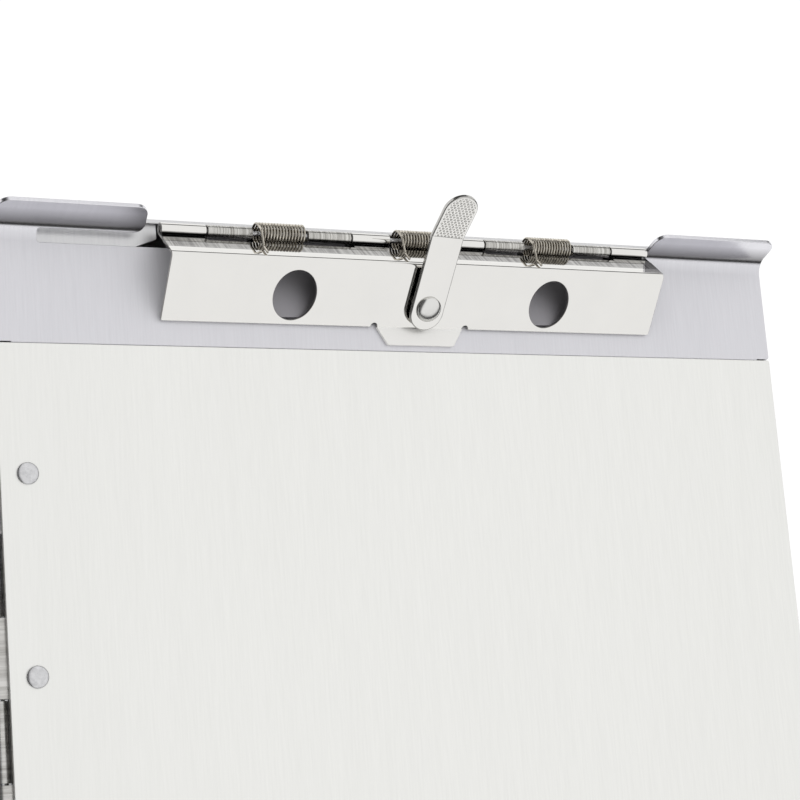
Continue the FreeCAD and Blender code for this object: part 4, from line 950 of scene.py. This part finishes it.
# two shelves bent in from the rear wall, under the guard lips, with a slanted nose towards the clip
shelf = {"outer": 114.7, "front": 167.7, "rear": 174.4, "top": 24.4, "nose": 6.0, "slant": 2.3, "edge": 0.15,
         "corners": (1.2, 1.0, 0.6, 0, 0)}
shelfLine = sectionLine((shelf["front"], shelf["top"]), 0, [(shelf["rear"] - shelf["front"], 0)])
deep = lineEnd(shelfLine)
shelfParts = []
for sign, lipEnd in ((-1, deck["leftEnd"]), (1, deck["rightEnd"])):
    outer, nose = sign * shelf["outer"], sign * (lipEnd - shelf["nose"])
    shelfLoop = roundCorners([(outer, 0), (sign * lipEnd, 0), (nose, shelf["slant"]), (nose, deep), (outer, deep)],
                             shelf["corners"])
    shelfParts.append(sheetArrays([shelfLoop], extruded(shelfLine), np.zeros(0), tray["sheet"], shelf["edge"]))
addPiece("tray_rear_shelves", joined(*shelfParts), trayFinish, "tray", ["tray_pan"])


# lid hinge: two leaves of one strip each, their fingers rolled round the long pin
leaf = {"axisX": -122.0, "axisZ": 22.8, "thick": 0.8, "bore": 1.2, "start": -167.0, "length": 300.1, "knuckles": 15,
        "web": 12.0, "reach": 10.0, "gap": 0.4, "roll": 290.0, "edge": 0.14, "pin": 1.0, "pinHalf": 150.65,
        "pinMiddle": -16.95, "pinHead": 1.8, "pinRise": 0.7, "shoulder": 0.01}
pitch = leaf["length"] / leaf["knuckles"]


def hingeLeaf(name, first, start, heading, body, node):
    # a strip whose edge has fingers, rolled round the pin, at every second knuckle from the first one on
    line = sectionLine(start, heading, [(leaf["web"], 0), (leaf["bore"], leaf["roll"])])
    gap, near, far = leaf["gap"] / 2, leaf["start"], leaf["start"] + leaf["length"]
    sJoin, sRolled, sShoulder = leaf["reach"], lineEnd(line), leaf["reach"] - leaf["shoulder"]
    points = [(near, 0), (far, 0), (far, sShoulder)]
    for y in (near + pitch * np.arange(leaf["knuckles"])[first::2])[::-1]:
        low, high = y + gap, y + pitch - gap
        points += [(high, sJoin), (high, sRolled), (low, sRolled), (low, sJoin)]
    points.append((near, sShoulder))
    blank = np.array(points) * [-1, 1]
    addPiece(name, sheetArrays([blank], extruded(line, (0, -1, 0), (1, 0, 0)), bendRows(line, 12.0), leaf["thick"],
                               leaf["edge"], arcRows=3), leafFinish, body, [node])


hingeLeaf("lid_hinge_tray_strip", 0, (leaf["axisX"] + leaf["bore"], leaf["axisZ"] - leaf["web"]), 90, "tray",
          "lid_hinge_tray_leaf")
hingeLeaf("lid_hinge_lid_strip", 1, (leaf["axisX"] + leaf["web"], leaf["axisZ"] + leaf["bore"]), 180, "lid",
          "lid_hinge_lid_leaf")
# pin with a domed head at both ends: its radius is the root of 1 minus the rise to the fourth
climb, pinHalf = np.linspace(0, 1, 7), leaf["pinHalf"]
dome = np.column_stack([leaf["pinHead"] * np.sqrt(1 - (climb * 0.999) ** 4),
                        pinHalf + leaf["pinRise"] * (0.35 + 0.65 * climb)])
pinEnd = np.concatenate([[(leaf["pin"], pinHalf - 0.05), (leaf["pin"], pinHalf), (leaf["pinHead"], pinHalf)], dome])
pinEnd[-1, 0] = 0
addPiece("lid_pin_rod",
         spun(np.concatenate([pinEnd[::-1] * [1, -1], pinEnd]), (leaf["axisX"], leaf["pinMiddle"], leaf["axisZ"]),
              (0, 1, 0), 40),
         rivetFinish, "tray", ["lid_hinge_pin"])


# rivets: a shank with a low dome at both ends, one profile set at every place of a row
rivet = {"shank": 1.5, "head": 2.8, "height": 0.8}
leafYs = leaf["start"] + (np.arange(6) + 0.5) / 6 * leaf["length"]
acrossX, upZ = (1, 0, 0), (0, 0, 1)
# piece, node, body, thickness held, direction, places
rivetRows = (
    ("deck_rivet_row", "deck_rivets", "tray", 2.4, acrossX,
     [(x, y, 20.2) for x in (-118.8, 118.8) for y in (147.35, 161.35)]),
    ("base_rivet_row", "base_rivets", "tray", 2.1, upZ,
     [(x, 157.4, 25.85) for x in (-54.036, -18.012, 18.012, 54.036)]),
    ("tray_leaf_rivet_row", "tray_leaf_rivets", "tray", 2.0, acrossX, [(-119.8, y, 15.8) for y in leafYs]),
    ("lid_leaf_rivet_row", "lid_leaf_rivets", "lid", 2.0, upZ, [(-113.0, y, 25.0) for y in leafYs]),
    ("catch_spring_rivet_row", "catch_spring_rivets", "tray", 1.8, acrossX,
     [(119.1, y, 15.0) for y in (-9.0, 9.0)]),
    ("catch_tongue_rivet_row", "catch_tongue_rivets", "lid", 2.2, upZ, [(111.1, y, 24.9) for y in (-6.4, 6.4)]),
)
climb = np.linspace(0, 1, 6)
for name, node, body, grip, way, places in rivetRows:
    shank, head, end = rivet["shank"], rivet["head"], grip / 2
    dome = np.column_stack([head * np.sqrt(1 - climb ** 3), end + rivet["height"] * (0.25 + 0.75 * climb)])
    upper = np.concatenate([[(shank, 0), (shank, end), (head, end)], dome])
    profile = np.concatenate([upper[::-1] * [1, -1], upper[1:]])
    addPiece(name, joined(*[spun(profile, place, way, 28) for place in places]), rivetFinish, body,
             [node])


# snap catch: a bumped spring on the right wall and an angled tongue under the lid
catch = {"half": 15.0, "faceX": 118.2, "top": 24.2, "height": 12.0, "sheet": 0.6, "bump": 1.6, "ease": 0.5,
         "turn": 62.0, "corners": (2, 2, 1, 1), "edge": 0.12}
ease, bumpTurn, steep = catch["ease"], catch["turn"], math.radians(catch["turn"])
bumpR = catch["bump"] / (1 - math.cos(steep)) - ease     # both arcs together stand out by the bump's height
span = 2 * (ease + bumpR) * math.sin(steep)
below = catch["height"] - 2 * catch["bump"] - span / 2
catchLine = sectionLine((catch["faceX"], catch["top"] - catch["height"]), 90, [
    (below, 0), (ease, bumpTurn), (bumpR, -2 * bumpTurn), (ease, bumpTurn), (catch["height"] - below - span, 0)])
catchLoop = plateLoop(catch["half"], lineEnd(catchLine), catch["corners"])
addPiece("catch_spring_strip",
         sheetArrays([catchLoop], extruded(catchLine, (0, -1, 0), (1, 0, 0)), bendRows(catchLine),
                     catch["sheet"], catch["edge"]),
         leafFinish, "tray", ["catch_spring"])
tongue = {"half": 12.0, "faceX": 116.1, "sheet": 1.0, "foot": 9.0, "drop": 11.0, "top": 24.8, "bend": 1.4,
          "corners": (1.5, 1.5, 3, 3), "edge": 0.15}
tongueLine = sectionLine((tongue["faceX"] - tongue["foot"], tongue["top"]), 0, [
    (tongue["foot"] - tongue["bend"], 0), (tongue["bend"], -90), (tongue["drop"] - tongue["bend"], 0)])
tongueLoop = plateLoop(tongue["half"], lineEnd(tongueLine), tongue["corners"])
addPiece("catch_tongue_angle",
         sheetArrays([tongueLoop], extruded(tongueLine, (0, -1, 0), (1, 0, 0)), bendRows(tongueLine),
                     tongue["sheet"], tongue["edge"]),
         leafFinish, "lid", ["catch_tongue"])
print("pieces done")


# camera at the photograph's place, its axes given as right, up and back
cameraPlace = {"spot": (-265.90, 30.67, 508.18), "right": (0.88516, -0.08033, 0.45829),
               "up": (-0.01028, 0.98137, 0.19187), "back": (-0.46517, -0.17455, 0.86784), "lens": 91.74}
cameraData = bpy.data.cameras.new("photoCamera")
cameraData.sensor_width = 36.0
cameraData.sensor_fit = "HORIZONTAL"
cameraData.lens = cameraPlace["lens"]
cameraData.clip_start = 0.01
camera = bpy.data.objects.new("photoCamera", cameraData)
turned = Matrix((cameraPlace["right"], cameraPlace["up"], cameraPlace["back"])).transposed()
camera.matrix_world = Matrix.Translation(Vector(cameraPlace["spot"]) * mm) @ turned.to_4x4()
bpy.context.scene.collection.objects.link(camera)
bpy.context.scene.camera = camera


# floor and surroundings; the tent's stops are (height of the direction, brightness)
stage = {"side": 20.0, "level": -0.0004, "colour": (0.9, 0.9, 0.9), "glow": 1.1, "glowShare": 0.86, "sky": 0.85,
         "tent": ((0.0, 0.04), (0.20, 0.06), (0.28, 0.12), (0.34, 0.90), (0.42, 1.0)),
         "open": 0.12, "openFrom": (-0.42, -0.12)}


def paleFloor():
    # a pale plane that also glows where the camera or a reflection sees it
    side, level = stage["side"], stage["level"]
    mesh = bpy.data.meshes.new("paleFloor")
    mesh.from_pydata([(-side, -side, level), (side, -side, level), (side, side, level), (-side, side, level)],
                     [], [(0, 1, 2, 3)])
    floor = bpy.data.objects.new("paleFloor", mesh)
    bpy.context.scene.collection.objects.link(floor)
    material, tree, shader = freshMaterial("paleFloor", stage["colour"], 0.9, 0.0)
    glow = addNode(tree, "Emission", {"Strength": stage["glow"]}).outputs["Emission"]
    ray = addNode(tree, "LightPath").outputs
    seen = maths(tree, "MAXIMUM", ray["Is Camera Ray"], ray["Is Glossy Ray"])
    share = maths(tree, "MULTIPLY", seen, stage["glowShare"])
    mix = addNode(tree, "MixShader", {0: share, 1: shader.outputs["BSDF"], 2: glow})
    feed(tree, tree.nodes["Material Output"], {"Surface": mix.outputs["Shader"]})
    mesh.materials.append(material)


def studioWorld():
    # white to the camera; in reflections a bright tent that ends about 18 degrees above the floor and
    # is open, and so dark, on the left
    world = bpy.data.worlds.new("studio")
    bpy.context.scene.world = world
    world.use_nodes = True
    tree = world.node_tree
    spot = addNode(tree, "TexCoord").outputs["Generated"]
    split = addNode(tree, "SeparateXYZ", {"Vector": spot}).outputs
    ramp = addNode(tree, "ValToRGB", {"Fac": split["Z"]})
    stops, elements = stage["tent"], ramp.color_ramp.elements
    elements[0].position, elements[1].position = stops[0][0], stops[-1][0]
    for place, level in stops[1:-1]:
        elements.new(place)
    for element, (place, level) in zip(elements, stops):
        element.color = (level, level, level, 1)
    side = spread(tree, split["X"], stage["open"], 1.0, *stage["openFrom"])
    tent = addNode(tree, "Mix", {"Factor": 1.0, "A": ramp.outputs["Color"], "B": side}, data_type="RGBA",
                   blend_type="MULTIPLY").outputs["Result"]
    ray = addNode(tree, "LightPath").outputs
    sky = (stage["sky"],) * 3 + (1,)
    mirror = addNode(tree, "Mix", {"Factor": ray["Is Glossy Ray"], "A": sky, "B": tent}, data_type="RGBA")
    either = maths(tree, "MAXIMUM", ray["Is Camera Ray"], ray["Is Transmission Ray"])
    seen = overlaid(tree, either, mirror.outputs["Result"], (1, 1, 1))
    feed(tree, tree.nodes["Background"], {"Color": seen})


paleFloor()
studioWorld()
bpy.context.scene.view_settings.view_transform = "Standard"
print("stage ready")
